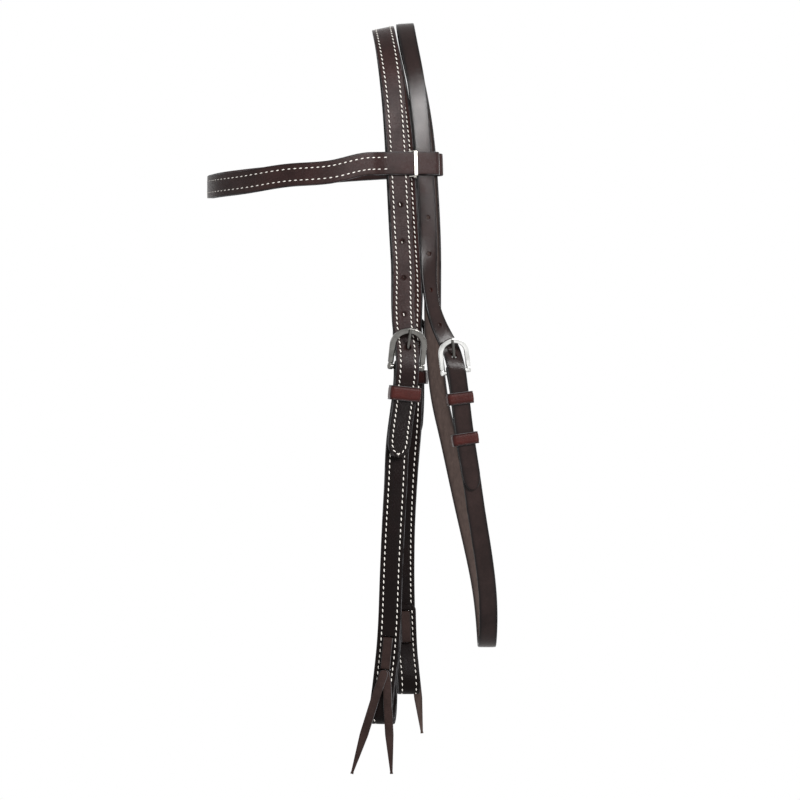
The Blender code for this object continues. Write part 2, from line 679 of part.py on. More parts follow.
class ThroatLine:
    """The throatlatch's middle line: down from its near buckle bar, under, up the far side, over the poll."""

    # X as a share of the step from bar to bottom, drop as a share of the drop from bar to bottom, Y as a
    # share of the throatlatch's half spread, and turn in degrees
    lower_shares = (
        (0.000, 0.000, -1.00, -6), (0.112, 0.089, -1.00, -6), (0.266, 0.236, -1.00, -6),
        (0.440, 0.361, -1.00, -5), (0.570, 0.466, -1.00, -4), (0.860, 0.686, -0.98, -2),
        (0.985, 0.832, -0.86, 0), (1.000, 0.945, -0.55, 0), (0.985, 1.000, 0.00, 0),
        (0.960, 0.935, 0.55, 0), (0.860, 0.815, 0.85, -3), (0.575, 0.640, 0.98, -6),
        (0.280, 0.487, 0.98, -8), (0.000, 0.335, 0.94, -10), (-0.215, 0.220, 0.91, -12),
        (-0.430, 0.105, 0.89, -14), (-0.555, -0.010, 0.88, -17), (-0.645, -0.150, 0.90, -19),
    )
    # X as a share of the throat strap's step behind the crown, drop as a share of the sleeve drop,
    # and turn in degrees, where the near half runs on from the browband to the buckle
    entry_shares = ((1.27, 1.19, -40), (1.52, 1.315, -34))

    def __init__(self):
        inward = THROAT_STEP * math.tan(math.radians(TURN_DEG))
        self.half = HEAD_HALF - inward
        reach = THROAT_BOTTOM_X - THROAT_BAR_X
        fall = THROAT_BOTTOM - THROAT_BAR_DROP
        stations = [(THROAT_BAR_X + a * reach, b * THROAT_HALF, -THROAT_BAR_DROP - c * fall, turn)
                    for a, c, b, turn in self.lower_shares]
        self.route = Route(stations)
        zone = []
        lean = CROWN_LEAN / (SLEEVE_DROP - ARCH_DROP)
        for drop, pull in ((SLEEVE_DROP, THROAT_SLEEVE_PULL), ((SLEEVE_DROP + ARCH_DROP) / 2, 0),
                           (ARCH_DROP, THROAT_ARCH_PULL)):
            zone.append((CROWN_X + THROAT_STEP + lean * (drop - ARCH_DROP) - pull, drop))
        arch = []
        top = POLL_THROAT_RISE + HALF_DOUBLE
        for angle, turn in ((28, -15), (58, -3)):
            rise = (ARCH_DROP + top) * math.sin(math.radians(angle))
            shift = 1 - (ARCH_PULL_SHARE * (rise / ARCH_DROP) ** ARCH_POWER
                         * (1 - POLL_THROAT_X / (CROWN_X + THROAT_STEP - THROAT_ARCH_PULL)))
            arch.append(((CROWN_X + THROAT_STEP - THROAT_ARCH_PULL) * shift,
                         self.half * math.cos(math.radians(angle)), rise - ARCH_DROP, turn))
        stations += [(x + FAR_THROAT_STEP, self.half, -drop, -TURN_DEG) for x, drop in zone]
        stations += [(x + FAR_THROAT_STEP * -z / ARCH_DROP, y, z, turn) for x, y, z, turn in arch]
        stations += [(POLL_THROAT_X, 0, top, 4)]
        stations += [(x, -y, z, turn) for x, y, z, turn in arch[::-1]]
        stations += [(x, -self.half, -drop, -TURN_DEG) for x, drop in zone[::-1]]
        stations += [(CROWN_X + a * THROAT_STEP, -self.half * a ** ENTRY_POWER, -b * SLEEVE_DROP, turn)
                     for a, b, turn in self.entry_shares]
        billet = over_buckle(self, THROAT_OVER_SHARES, PLY, THROAT_FRAME_TALL, THROAT_FRAME_BAND,
                             HALF_DOUBLE + FIT + PLY / 2, THROAT_BILLET)
        stations += billet[::-1]
        self.strap = Route(stations)

    def frame(self, down):
        """Points, upward, width and outward directions at each length down from the bar."""
        point, travel, wide, inward = self.route.frame(down)
        return point, -travel, wide, -inward

    def turn(self, down):
        return self.route.value(down)[0, 3]

    def spot(self, up, outward, across=0.0):
        point, lift, wide, out = (v[0] for v in self.frame(0.0))
        return point + lift * up + out * outward + wide * across



def throatlatch():
    """One strap: over the buckle bar from its chape end, round the throat and over the poll to its tip."""
    line = ThroatLine()
    route = line.strap
    lead = lengths(0, OVERRUN * 2, FINE_STEP)
    rows = np.concatenate((lead, lengths(OVERRUN * 2, route.length - BILLET_TIP, STEP)[1:],
                           route.length - BILLET_TIP * np.linspace(1, 0, 8)[1:] ** 2))
    point, travel, wide, inward = route.frame(rows)
    lay = chape_lay(rows) * (1 - ease((rows - THROAT_CHAPE) / (THROAT_CHAPE / 2)))
    outer = point - inward * lay[:, None]
    inner_rows = rows[rows < THROAT_CHAPE]
    inner_rows = np.append(inner_rows, THROAT_CHAPE)
    inner_point, _, inner_wide, inner_in = route.frame(inner_rows)
    inner = inner_point + inner_in * chape_lay(inner_rows)[:, None]
    turn, turn_wide = wrap(line.frame)
    centre = np.concatenate((inner[::-1], turn[::-1], outer))
    across = np.concatenate((inner_wide[::-1], turn_wide, wide))
    half_in = tip_half(THROAT_CHAPE - inner_rows, THROAT_WIDTH, THROAT_WIDTH / 4, THROAT_WIDTH / 3)
    half_out = tip_half(route.length - rows, THROAT_WIDTH, BILLET_TIP, BILLET_NOSE)
    halves = np.concatenate((half_in[::-1], np.full(len(turn), THROAT_WIDTH / 2), half_out))
    strap = ribbon("throatlatch_strap", centre, across, halves, LEATHER_LOOK)
    return line, strap


def tongue_notch(label, line, strap):
    """The slot in the wrapped end that lets the tongue swing round the bar."""
    point, lift, wide, out = (v[0] for v in line.frame(0.0))
    size = (2 * (TONGUE_RADIUS + SLACK), 2 * WRAP_RADIUS + PLY + FIT,
            2 * (HOOK_RADIUS + TONGUE_RADIUS + SLACK))
    cut(strap, block(label + "_tongue_notch", point, wide, out, lift, size))


class BrowLine:
    """The browband's middle line from the turn of its near loop round the forehead to the far one's."""

    # X as a share of the reach, Y as a share of the spread and drop as a share of the fall
    nose_shares = (
        (-0.27, -1.00, 0.45), (-0.52, -0.98, 0.64), (-0.76, -0.81, 0.91), (-0.93, -0.48, 1.00),
        (-1.00, 0.00, 0.92), (-0.93, 0.48, 0.57), (-0.76, 0.81, 0.21), (-0.52, 0.98, -0.04),
        (-0.27, 1.00, -0.24),
    )

    def __init__(self):
        self.gap = HALF_DOUBLE + BROW_SLACK + PLY / 2
        tilt = math.cos(math.radians(TURN_DEG))
        reach = THROAT_STEP / tilt + THROAT_WIDTH / 2 + SIDE_SLACK - self.gap / 2
        self.turn_at = {-1: reach, 1: reach - (FAR_STEP - FAR_THROAT_STEP) / tilt}
        self.mouth = STRAP_WIDTH / 2 + SIDE_SLACK
        near = [self.loop_point(-1, along) for along in self.loop_stations(-1)]
        far = [self.loop_point(1, along) for along in self.loop_stations(1)]
        nose = [(a * BROW_REACH + (FAR_STEP if b > 0.5 else 0), b * BROW_SPREAD,
                 -BROW_DROP - c * BROW_FALL, 0) for a, b, c in self.nose_shares]
        self.route = Route(near + nose + far[::-1], (0, 0, 1))

    def loop_stations(self, side):
        """Lengths along a loop from its turn, past the crown to where its plies close."""
        turn_at = self.turn_at[side]
        return turn_at, turn_at / 2, 0, -self.mouth, -1.6 * self.mouth, -2.3 * self.mouth

    def loop_point(self, side, along):
        """A point in a loop, along it to the rear from the crown's middle."""
        drop = BROW_DROP - (BROW_FAR_RISE if side > 0 else 0)
        lean = CROWN_LEAN / (SLEEVE_DROP - ARCH_DROP)
        turn = math.radians(TURN_DEG)
        x = CROWN_X + lean * (drop - ARCH_DROP) + (FAR_STEP if side > 0 else 0) + along * math.cos(turn)
        y = side * (HEAD_HALF - along * math.sin(turn))
        return x, y, -drop + along * lean * 0.6, 0

    def lay(self, rows):
        """How far each ply stands off the middle: wide round the straps, close along the forehead."""
        along = np.where(rows < self.route.length / 2, self.turn_at[-1] - rows,
                         self.turn_at[1] - (self.route.length - rows))
        return PLY_OFFSET + (self.gap - PLY_OFFSET) * ease((along + self.mouth + BROW_MOUTH) / BROW_MOUTH)


def browband():
    """The face ply with its ends turned back as loops, the lining between, and a divider on each loop."""
    line = BrowLine()
    route = line.route
    fine = {side: line.turn_at[side] + line.mouth + BROW_MOUTH for label, side in SIDES}
    starts = {side: lengths(0, fine[side], FINE_STEP * 1.5) for label, side in SIDES}
    rows = np.concatenate((starts[-1], lengths(fine[-1], route.length - fine[1], STEP)[1:-1],
                           route.length - starts[1][::-1]))
    point, travel, wide, out = route.frame(rows)
    outer = point + out * line.lay(rows)[:, None]
    turns = []
    ends = []
    for label, side in SIDES:
        at_end = side > 0
        back_rows = np.append(starts[side], lengths(fine[side], fine[side] + BROW_LAP, STEP)[1:])
        rows_here = route.length - back_rows if at_end else back_rows
        p, t, w, o = route.frame(rows_here)
        ends.append((p - o * line.lay(rows_here)[:, None], w))
        p, t, w, o = (v[0] for v in route.frame(route.length if at_end else 0.0))
        angle = np.linspace(0, math.pi, 12)[1:-1, None]
        rear = t if at_end else -t
        turns.append((p + line.gap * (o * np.cos(angle) + rear * np.sin(angle)), np.tile(w, (10, 1))))
    centre = np.concatenate((ends[0][0][::-1], turns[0][0][::-1], outer, turns[1][0], ends[1][0]))
    across = np.concatenate((ends[0][1][::-1], turns[0][1], wide, turns[1][1], ends[1][1]))
    face = ribbon("browband_face", centre, across, STRAP_WIDTH / 2, LEATHER_LOOK)
    rows = lengths(fine[-1] + BROW_LAP + 2 * FIT, route.length - fine[1] - BROW_LAP - 2 * FIT, STEP)
    point, travel, wide, out = route.frame(rows)
    lining = ribbon("browband_lining", point - out * PLY_OFFSET, wide, STRAP_WIDTH / 2, LINING_LOOK)
    for piece in (face, lining):
        set_origin(piece, (CROWN_X, 0, -BROW_DROP))
    for label, side in SIDES:
        at = line.turn_at[side] - (NEAR_DIVIDER_AT if side < 0 else FAR_DIVIDER_AT)
        point, travel, wide, out = (v[0] for v in route.frame(at if side < 0 else route.length - at))
        inner = (2 * line.gap + PLY + 2 * FIT, STRAP_WIDTH + 2 * FIT)
        outer = (inner[0] + 2 * DIVIDER_PLY, inner[1] + 2 * DIVIDER_PLY)
        home = axes_matrix(point, out, wide, np.cross(out, wide))
        outlines = [rounded_box(*outer, 2 * DIVIDER_PLY), rounded_box(*inner, DIVIDER_PLY)]
        outline_plate(label + "_browband_divider", outlines, DIVIDER_WIDE, DIVIDER_LOOK, home, DIVIDER_BEVEL)


crown_route, crown_plies = crown()
for label, side in SIDES:
    line = cheeks[label]
    bar = [v[0] for v in line.frame(0.0)]
    strap = cheek_strap(label, line)
    tongue_notch(label, line, strap)
    start, along = buckle(label + "_cheek", bar, STRAP_WIDTH, CHEEK_FRAME_BAND, CHEEK_FRAME_TALL, FRAME_LOOK)
    hole = tongue_hole(label + "_tongue_hole", start, along, bar[2])
    for ply in crown_plies:
        cut(ply, hole)
    hole_drop = (NEAR_BAR_DROP if side < 0 else FAR_BAR_DROP) - HOLE_RISE_SHARE * CHEEK_FRAME_TALL
    punch_row(label + "_crown", crown_plies, crown_route, crown_route.find_drop(hole_drop, side), -side)
    keeper(label + "_cheek_keeper", line, KEEPER_DROP, KEEPER_TALL, STRAP_WIDTH, (DOUBLE + FIT) / 2,
           2 * DOUBLE + FIT)
    tie_band(label, line)
    rear_tail = (NEAR_REAR_TAIL, NEAR_REAR_SWEEP, NEAR_REAR_KICK)
    front_tail = (NEAR_FRONT_TAIL, NEAR_FRONT_SWEEP, NEAR_FRONT_KICK)
    if side > 0:
        rear_tail = (FAR_REAR_TAIL, FAR_REAR_SWEEP, FAR_REAR_KICK)
        front_tail = (FAR_FRONT_TAIL, FAR_FRONT_SWEEP, FAR_FRONT_KICK)
    tie_tail(label + "_tie_rear_tail", line, 0, *rear_tail)
    tie_tail(label + "_tie_front_tail", line, 1, *front_tail)

throat, throat_strap = throatlatch()
tongue_notch("throat", throat, throat_strap)
bar = [v[0] for v in throat.frame(0.0)]
start, along = buckle("throat", bar, THROAT_WIDTH, THROAT_FRAME_BAND, THROAT_FRAME_TALL, FRAME_LOOK)
cut(throat_strap, tongue_hole("throat_tongue_hole", start, along, bar[2]))
punch_row("throat", [throat_strap], throat.strap,
          throat.strap.length - THROAT_BILLET - HOLE_RISE_SHARE * THROAT_FRAME_TALL, -1, THROAT_HOLE_RADIUS)
middle = (PLY + FIT) / 2
keeper("throat_fixed_keeper", throat, THROAT_KEEPER_DROP, THROAT_KEEPER_TALL, THROAT_WIDTH, middle,
       DOUBLE + FIT + PLY)
keeper("throat_sliding_keeper", throat, SLIDER_DROP, THROAT_KEEPER_TALL, THROAT_WIDTH, middle,
       DOUBLE + FIT + PLY)
browband()
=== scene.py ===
"""The western headstall dressed for its picture: straps, stitching, buckles, keepers, ties and the stage.

X points to the rear of the horse, Y away from the near side, Z up, all in metres.
"""
import math

import bmesh
import bpy
import numpy as np
from bpy.props import FloatProperty, FloatVectorProperty, PointerProperty
from bpy.types import Operator, Panel, PropertyGroup
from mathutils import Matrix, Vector


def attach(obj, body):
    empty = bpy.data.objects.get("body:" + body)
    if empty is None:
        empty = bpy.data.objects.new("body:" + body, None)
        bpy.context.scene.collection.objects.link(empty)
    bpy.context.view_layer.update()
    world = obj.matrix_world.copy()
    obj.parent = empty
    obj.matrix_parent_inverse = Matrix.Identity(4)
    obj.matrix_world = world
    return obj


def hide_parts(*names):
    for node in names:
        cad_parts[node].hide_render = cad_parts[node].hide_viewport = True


bl_info = {
    "name": "Western headstall",
    "version": (1, 0, 0),
    "blender": (4, 5, 0),
    "location": "3D View > Sidebar > Headstall",
    "description": "Dresses the packed headstall with leather, stitching and hardware",
    "category": "Add Mesh",
}

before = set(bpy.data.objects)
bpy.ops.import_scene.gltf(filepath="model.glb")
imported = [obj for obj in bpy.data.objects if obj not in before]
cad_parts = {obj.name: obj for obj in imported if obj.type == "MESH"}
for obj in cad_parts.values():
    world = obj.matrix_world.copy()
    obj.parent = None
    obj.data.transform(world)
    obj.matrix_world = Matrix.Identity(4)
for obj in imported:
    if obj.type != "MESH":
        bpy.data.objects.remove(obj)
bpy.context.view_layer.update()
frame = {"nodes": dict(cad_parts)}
MM = 0.001

# Leather stock and clearances, as in the part's source
STRAP_WIDTH = 15.9 * MM
THROAT_WIDTH = 12.7 * MM
PLY = 2.15 * MM
KEEPER_PLY = 1.8 * MM
LACE_WIDTH = 6.6 * MM
LACE_PLY = 1.3 * MM
FIT = 0.3 * MM
SLACK = 0.5 * MM
BROW_SLACK = 0.9 * MM
SIDE_SLACK = 1.1 * MM

# The hang of the straps
HEAD_HALF = 45.0 * MM
CHEEK_HALF = 46.0 * MM
ARCH_DROP = 72.0 * MM
SLEEVE_DROP = 156.0 * MM
CROWN_X = 8.6 * MM
CROWN_LEAN = 4.4 * MM
FAR_CROWN_LEAN = 5.2 * MM
ARCH_POWER = 1.4
ARCH_PULL_SHARE = 0.93
ENTRY_POWER = 0.15
THROAT_STEP = 19.3 * MM
FAR_STEP = 5.8 * MM
FAR_THROAT_STEP = 3.8 * MM
THROAT_ARCH_PULL = 1.1 * MM
THROAT_SLEEVE_PULL = 0.6 * MM
POLL_THROAT_X = 15.3 * MM
POLL_THROAT_RISE = 4.6 * MM
BAR_DROPS = {-1: 237.0 * MM, 1: 225.0 * MM}
BAR_XS = {-1: 15.9 * MM, 1: 19.6 * MM}
CHEEK_LENGTH = 248.5 * MM
TURN_DEG = 21.0
LEAN = CROWN_LEAN / (SLEEVE_DROP - ARCH_DROP)

# Bit loops and ties
LOOP_HALF = 7.4 * MM
LOOP_CLOSE_SHARE = 0.72
LOOP_BULGE = 0.75 * LOOP_HALF
LOOP_REACH = 24.0 * MM
TIE_DOWN = CHEEK_LENGTH - 59.8 * MM
TIE_RUN = 21.5 * MM
SLOT_WIDE = 7.6 * MM
SLOT_TALL = 2.4 * MM
TAIL_ROOT = 5.94 * MM
TAIL_TIP = 2.2 * MM
TAIL_GAP = 0.7 * MM
TAIL_KICK_SHARE = 0.1
TAIL_TAPER_SHARES = (0.62, 0.75)
# length, sweep and kick of each tail
TAILS = {("front", -1): (72.8 * MM, -15.5 * MM, 0.0), ("rear", -1): (70.1 * MM, 10.5 * MM, 1.3 * MM),
         ("front", 1): (58.0 * MM, -12.0 * MM, -2.0 * MM), ("rear", 1): (67.5 * MM, 4.7 * MM, 6.0 * MM)}

# Billets, holes and buckles
HOLE_RADIUS = 1.9 * MM
THROAT_HOLE_RADIUS = 1.4 * MM
SPARE_RADIUS = {"near": HOLE_RADIUS, "far": HOLE_RADIUS, "throat": THROAT_HOLE_RADIUS}
SLANT_LEAD = 4.5 * MM
HOLE_PITCH = 25.4 * MM
HOLE_COUNT = 4
BILLET = 63.0 * MM
BILLET_TIP = 12.0 * MM
BILLET_NOSE = 1.2 * MM
THROAT_BILLET = 83.0 * MM
THROAT_CHAPE = 76.0 * MM
SETTLE = 12.5 * MM
CHAPE_RUN = 9.6 * MM
HOLE_RISE_SHARE = 0.42
BELOW_SLEEVE_SHARE = 0.12
# a billet over its buckle: up, outward and across as shares, and the share of the turn under the rim
OVER_SHARES = {
    "near": ((0.0, 1.0, 0.0, 0), (0.32, 0.68, -0.04, 0), (0.63, 0.14, -0.15, 0), (0.95, -0.1, -0.34, 0)),
    "far": ((0.0, 1.0, 0.0, 0), (0.32, 0.68, 0.04, 0), (0.63, 0.14, 0.13, 0), (0.95, -0.1, 0.26, 0)),
    "throat": ((0.0, 1.0, 0.0, 0), (0.32, 0.68, -0.04, 0.1), (0.63, 0.14, -0.16, 0.2), (0.95, -0.1, -0.5, 1)),
}
RIM_TURN_DEG = -16.0
BAR_RADIUS = 1.75 * MM
TONGUE_RADIUS = 1.05 * MM
FRAME_THICK = 2.8 * MM
CHEEK_FRAME_BAND = 4.0 * MM
CHEEK_FRAME_TALL = 28.4 * MM
THROAT_FRAME_BAND = 3.3 * MM
THROAT_FRAME_TALL = 24.2 * MM
FRAME_TILT = math.radians(17.0)

# Browband, throatlatch and keepers
BROW_REACH = 123.0 * MM
BROW_SPREAD = 59.0 * MM
BROW_DROP = 95.5 * MM
BROW_FALL = 14.0 * MM
BROW_FAR_RISE = 5.0 * MM
BROW_MOUTH = 10.5 * MM
BROW_LAP = 24.0 * MM
DIVIDER_WIDE = 2.5 * MM
DIVIDER_PLY = 0.6 * MM
NEAR_DIVIDER_AT = 11.7 * MM
FAR_DIVIDER_AT = 10.0 * MM
THROAT_BOTTOM = 434.6 * MM
THROAT_BAR_X = 50.7 * MM
THROAT_BAR_DROP = 240.0 * MM
THROAT_BOTTOM_X = 73.8 * MM
THROAT_HALF = 40.0 * MM
KEEPER_TALL = 10.0 * MM
KEEPER_DROP = 18.5 * MM
THROAT_KEEPER_TALL = 8.4 * MM
THROAT_KEEPER_DROP = 19.0 * MM
SLIDER_DROP = 47.5 * MM

DOUBLE = 2 * PLY + FIT
HALF_DOUBLE = DOUBLE / 2
PLY_OFFSET = (PLY + FIT) / 2
WRAP_RADIUS = BAR_RADIUS + FIT + PLY / 2
HOOK_RADIUS = BAR_RADIUS + FIT + TONGUE_RADIUS
TIE_LAY = HALF_DOUBLE + 2 * FIT + LACE_PLY / 2
ROW_STEP = 1.5 * MM
SIDES = (("near", -1), ("far", 1))


def unit(vectors):
    """Vectors brought to length one."""
    return vectors / np.linalg.norm(vectors, axis=-1, keepdims=True)


def ease(share):
    """A smooth step from 0 to 1: three times the square less twice the cube."""
    share = np.clip(share, 0, 1)
    return share * share * (3 - 2 * share)


def spaced(start, end, step=ROW_STEP):
    """Evenly spaced lengths from start to end, about a step apart."""
    return np.linspace(start, end, max(2, int(round(abs(end - start) / step)) + 1))


def once_round(count):
    """Angles once round in even steps."""
    return np.linspace(0, 2 * math.pi, count, endpoint=False)


def squarish(angle, power):
    """An oval's two shares at each angle: cosine and sine to a power, with their signs kept."""
    return tuple(np.sign(wave) * np.abs(wave) ** power for wave in (np.cos(angle), np.sin(angle)))


class Route:
    """A natural cubic spline through stations of x, y, z and turn in degrees, measured along its chords."""

    def __init__(self, stations, width_axis=(1, 0, 0)):
        self.at = np.array(stations, float)
        chords = np.linalg.norm(np.diff(self.at[:, :3], axis=0), axis=1)
        self.knots = np.concatenate(([0], np.cumsum(chords)))
        self.length = self.knots[-1]
        self.width_axis = np.array(width_axis, float)
        count = len(self.at)
        span = np.diff(self.knots)
        matrix = np.eye(count)
        right = np.zeros((count, 4))
        slopes = np.diff(self.at, axis=0) / span[:, None]
        for i in range(1, count - 1):
            matrix[i, i - 1:i + 2] = span[i - 1], 2 * (span[i - 1] + span[i]), span[i]
            right[i] = 6 * (slopes[i] - slopes[i - 1])
        self.curve = np.linalg.solve(matrix, right)

    def value(self, t):
        """Position and turn at the lengths t: each span blends its two ends and their bends by a cubic."""
        t = np.atleast_1d(np.asarray(t, float))
        i = np.clip(np.searchsorted(self.knots, t) - 1, 0, len(self.knots) - 2)
        span = (self.knots[i + 1] - self.knots[i])[:, None]
        a = (self.knots[i + 1][:, None] - t[:, None]) / span
        b = 1 - a
        bend = ((a**3 - a) * self.curve[i] + (b**3 - b) * self.curve[i + 1]) * span**2 / 6
        return a * self.at[i] + b * self.at[i + 1] + bend

    def frame(self, t):
        """Points, directions of travel, width directions and outward directions at the lengths t."""
        nudge = self.length * 1e-5
        here = self.value(t)
        travel = unit(self.value(np.asarray(t) + nudge)[:, :3] - self.value(np.asarray(t) - nudge)[:, :3])
        wide = unit(self.width_axis - (travel @ self.width_axis)[:, None] * travel)
        turn = np.radians(here[:, 3:4])
        wide = wide * np.cos(turn) + np.cross(travel, wide) * np.sin(turn)
        return here[:, :3], travel, wide, np.cross(wide, travel)

    def find_drop(self, drop, side):
        """The length at which the route lies the given drop below the origin, on the near or far side."""
        t = np.linspace(0, self.length, 4000)
        points = self.value(t)
        wrong_side = points[:, 1] * side < 0
        return t[np.argmin(np.abs(points[:, 2] + drop) + wrong_side * self.length)]


def first_frame(line, down=0.0):
    """The middle, lift, width and outward direction of a line at one length."""
    return tuple(v[0] for v in line.frame(down))


class CheekLine:
    """One cheek strap's middle line, measured down from its buckle bar, and its own directions."""

    # drop as a share of the cheek length, X as a share of the strap width, inward step as a share of the
    # loop's half depth, and turn in degrees, down to the loop's foot; from its fourth last station on, the
    # loop comes back up as its own mirror to the last station
    ways_down = {
        -1: ((0.000, 0.000, 0.00, 9), (0.073, -0.085, 0.00, 9), (0.207, -0.350, 0.00, 9),
             (0.316, -0.440, 0.00, 6), (0.400, -0.510, 0.00, 4), (0.596, -0.648, 0.00, -2),
             (0.708, -0.704, 0.00, -6), (0.800, -0.800, 0.00, -9), (0.860, -0.900, 0.00, -10),
             (0.905, -0.960, -0.30, -10), (0.950, -1.010, -0.66, -10), (0.982, -1.020, -0.30, -7)),
        1: ((0.000, 0.000, 0.00, 9), (0.073, 0.060, 0.00, 9), (0.207, 0.010, 0.00, 9),
            (0.316, -0.130, 0.00, 6), (0.400, -0.220, 0.00, 4), (0.596, -0.330, 0.00, -2),
            (0.708, -0.325, 0.00, -4), (0.800, -0.290, 0.00, -6), (0.860, -0.250, 0.00, -6),
            (0.905, -0.210, -0.30, -6), (0.950, -0.160, -0.66, -6), (0.982, -0.130, -0.30, -4)),
    }
    feet = {-1: (0.991, -1.020, 0.36, 0), 1: (0.991, -0.120, 0.36, 0)}
    heads = {-1: (0.739, -0.740, 0.72, 6), 1: (0.739, -0.315, 0.72, 5)}

    def __init__(self, side):
        self.side = side
        way, foot, head = self.ways_down[side], self.feet[side], self.heads[side]
        back = [(drop, shift, 2 * foot[2] - inward, -turn) for drop, shift, inward, turn in way[:-6:-1]]
        table = [*way, foot, *back, head]
        loop_turn = math.radians(table[-3][3])
        stations = [(BAR_XS[side] + shift * STRAP_WIDTH + inward * LOOP_HALF * math.sin(loop_turn),
                     side * (CHEEK_HALF - inward * LOOP_HALF), -BAR_DROPS[side] - drop * CHEEK_LENGTH, turn)
                    for drop, shift, inward, turn in table]
        self.route = Route(stations[::-1] if side < 0 else stations)

    def frame(self, down):
        """Points, upward, width and outward directions at each length down from the bar."""
        down = np.atleast_1d(np.asarray(down, float))
        t = self.route.length - down if self.side < 0 else down
        point, travel, wide, out = self.route.frame(t)
        return point, travel * -self.side, wide, out

    def turn(self, down):
        """The strap's turn in degrees at a length down from the bar."""
        return self.route.value(self.route.length - down if self.side < 0 else down)[0, 3]


def over_buckle(line, label, thickness, tall, band, beside, tip_length):
    """A billet's middle from its tip up the outside of the strap, over the bar and out under the rim."""
    over = max(WRAP_RADIUS + PLY / 2, HOOK_RADIUS + TONGUE_RADIUS) + FIT + thickness / 2
    stations = []
    for down, lay in ((tip_length, beside), (tip_length * 0.7, beside), (tip_length * 0.42, beside),
                      (SETTLE * 1.5, beside + FIT / 2), (SETTLE, beside + FIT), (SETTLE * 0.4, over - FIT)):
        point, lift, wide, out = first_frame(line, down)
        stations.append((*(point + out * lay), line.turn(down)))
    turn = stations[-1][3]
    bar, lift, wide, out = first_frame(line)
    for up_share, out_share, across_share, turn_share in OVER_SHARES[label]:
        spot = bar + lift * tall * up_share + out * over * out_share + wide * 2 * band * across_share
        stations.append((*spot, turn + RIM_TURN_DEG * turn_share))
    return stations


def crown_route(cheeks):
    """The crown's middle: up from the near billet tip, over the poll and down to the far billet tip."""
    halves = []
    for label, side in SIDES:
        step = 0 if side < 0 else FAR_STEP
        lean = (CROWN_LEAN if side < 0 else FAR_CROWN_LEAN) / (SLEEVE_DROP - ARCH_DROP)
        stations = over_buckle(cheeks[label], label, DOUBLE, CHEEK_FRAME_TALL, CHEEK_FRAME_BAND, DOUBLE + FIT,
                               BILLET)
        for drop in (SLEEVE_DROP + BELOW_SLEEVE_SHARE * (BAR_DROPS[side] - SLEEVE_DROP), SLEEVE_DROP,
                     (SLEEVE_DROP + ARCH_DROP) / 2, ARCH_DROP):
            stations.append((CROWN_X + step + lean * (drop - ARCH_DROP), side * HEAD_HALF, -drop, TURN_DEG))
        for angle, turn in ((28, 14), (58, -4)):
            rise = (ARCH_DROP + HALF_DOUBLE) * math.sin(math.radians(angle))
            x = (CROWN_X + step) * (1 - ARCH_PULL_SHARE * (rise / ARCH_DROP) ** ARCH_POWER)
            stations.append((x, side * HEAD_HALF * math.cos(math.radians(angle)), rise - ARCH_DROP, turn))
        halves.append(stations)
    return Route(halves[0] + [(0, 0, HALF_DOUBLE, -12)] + halves[1][::-1])


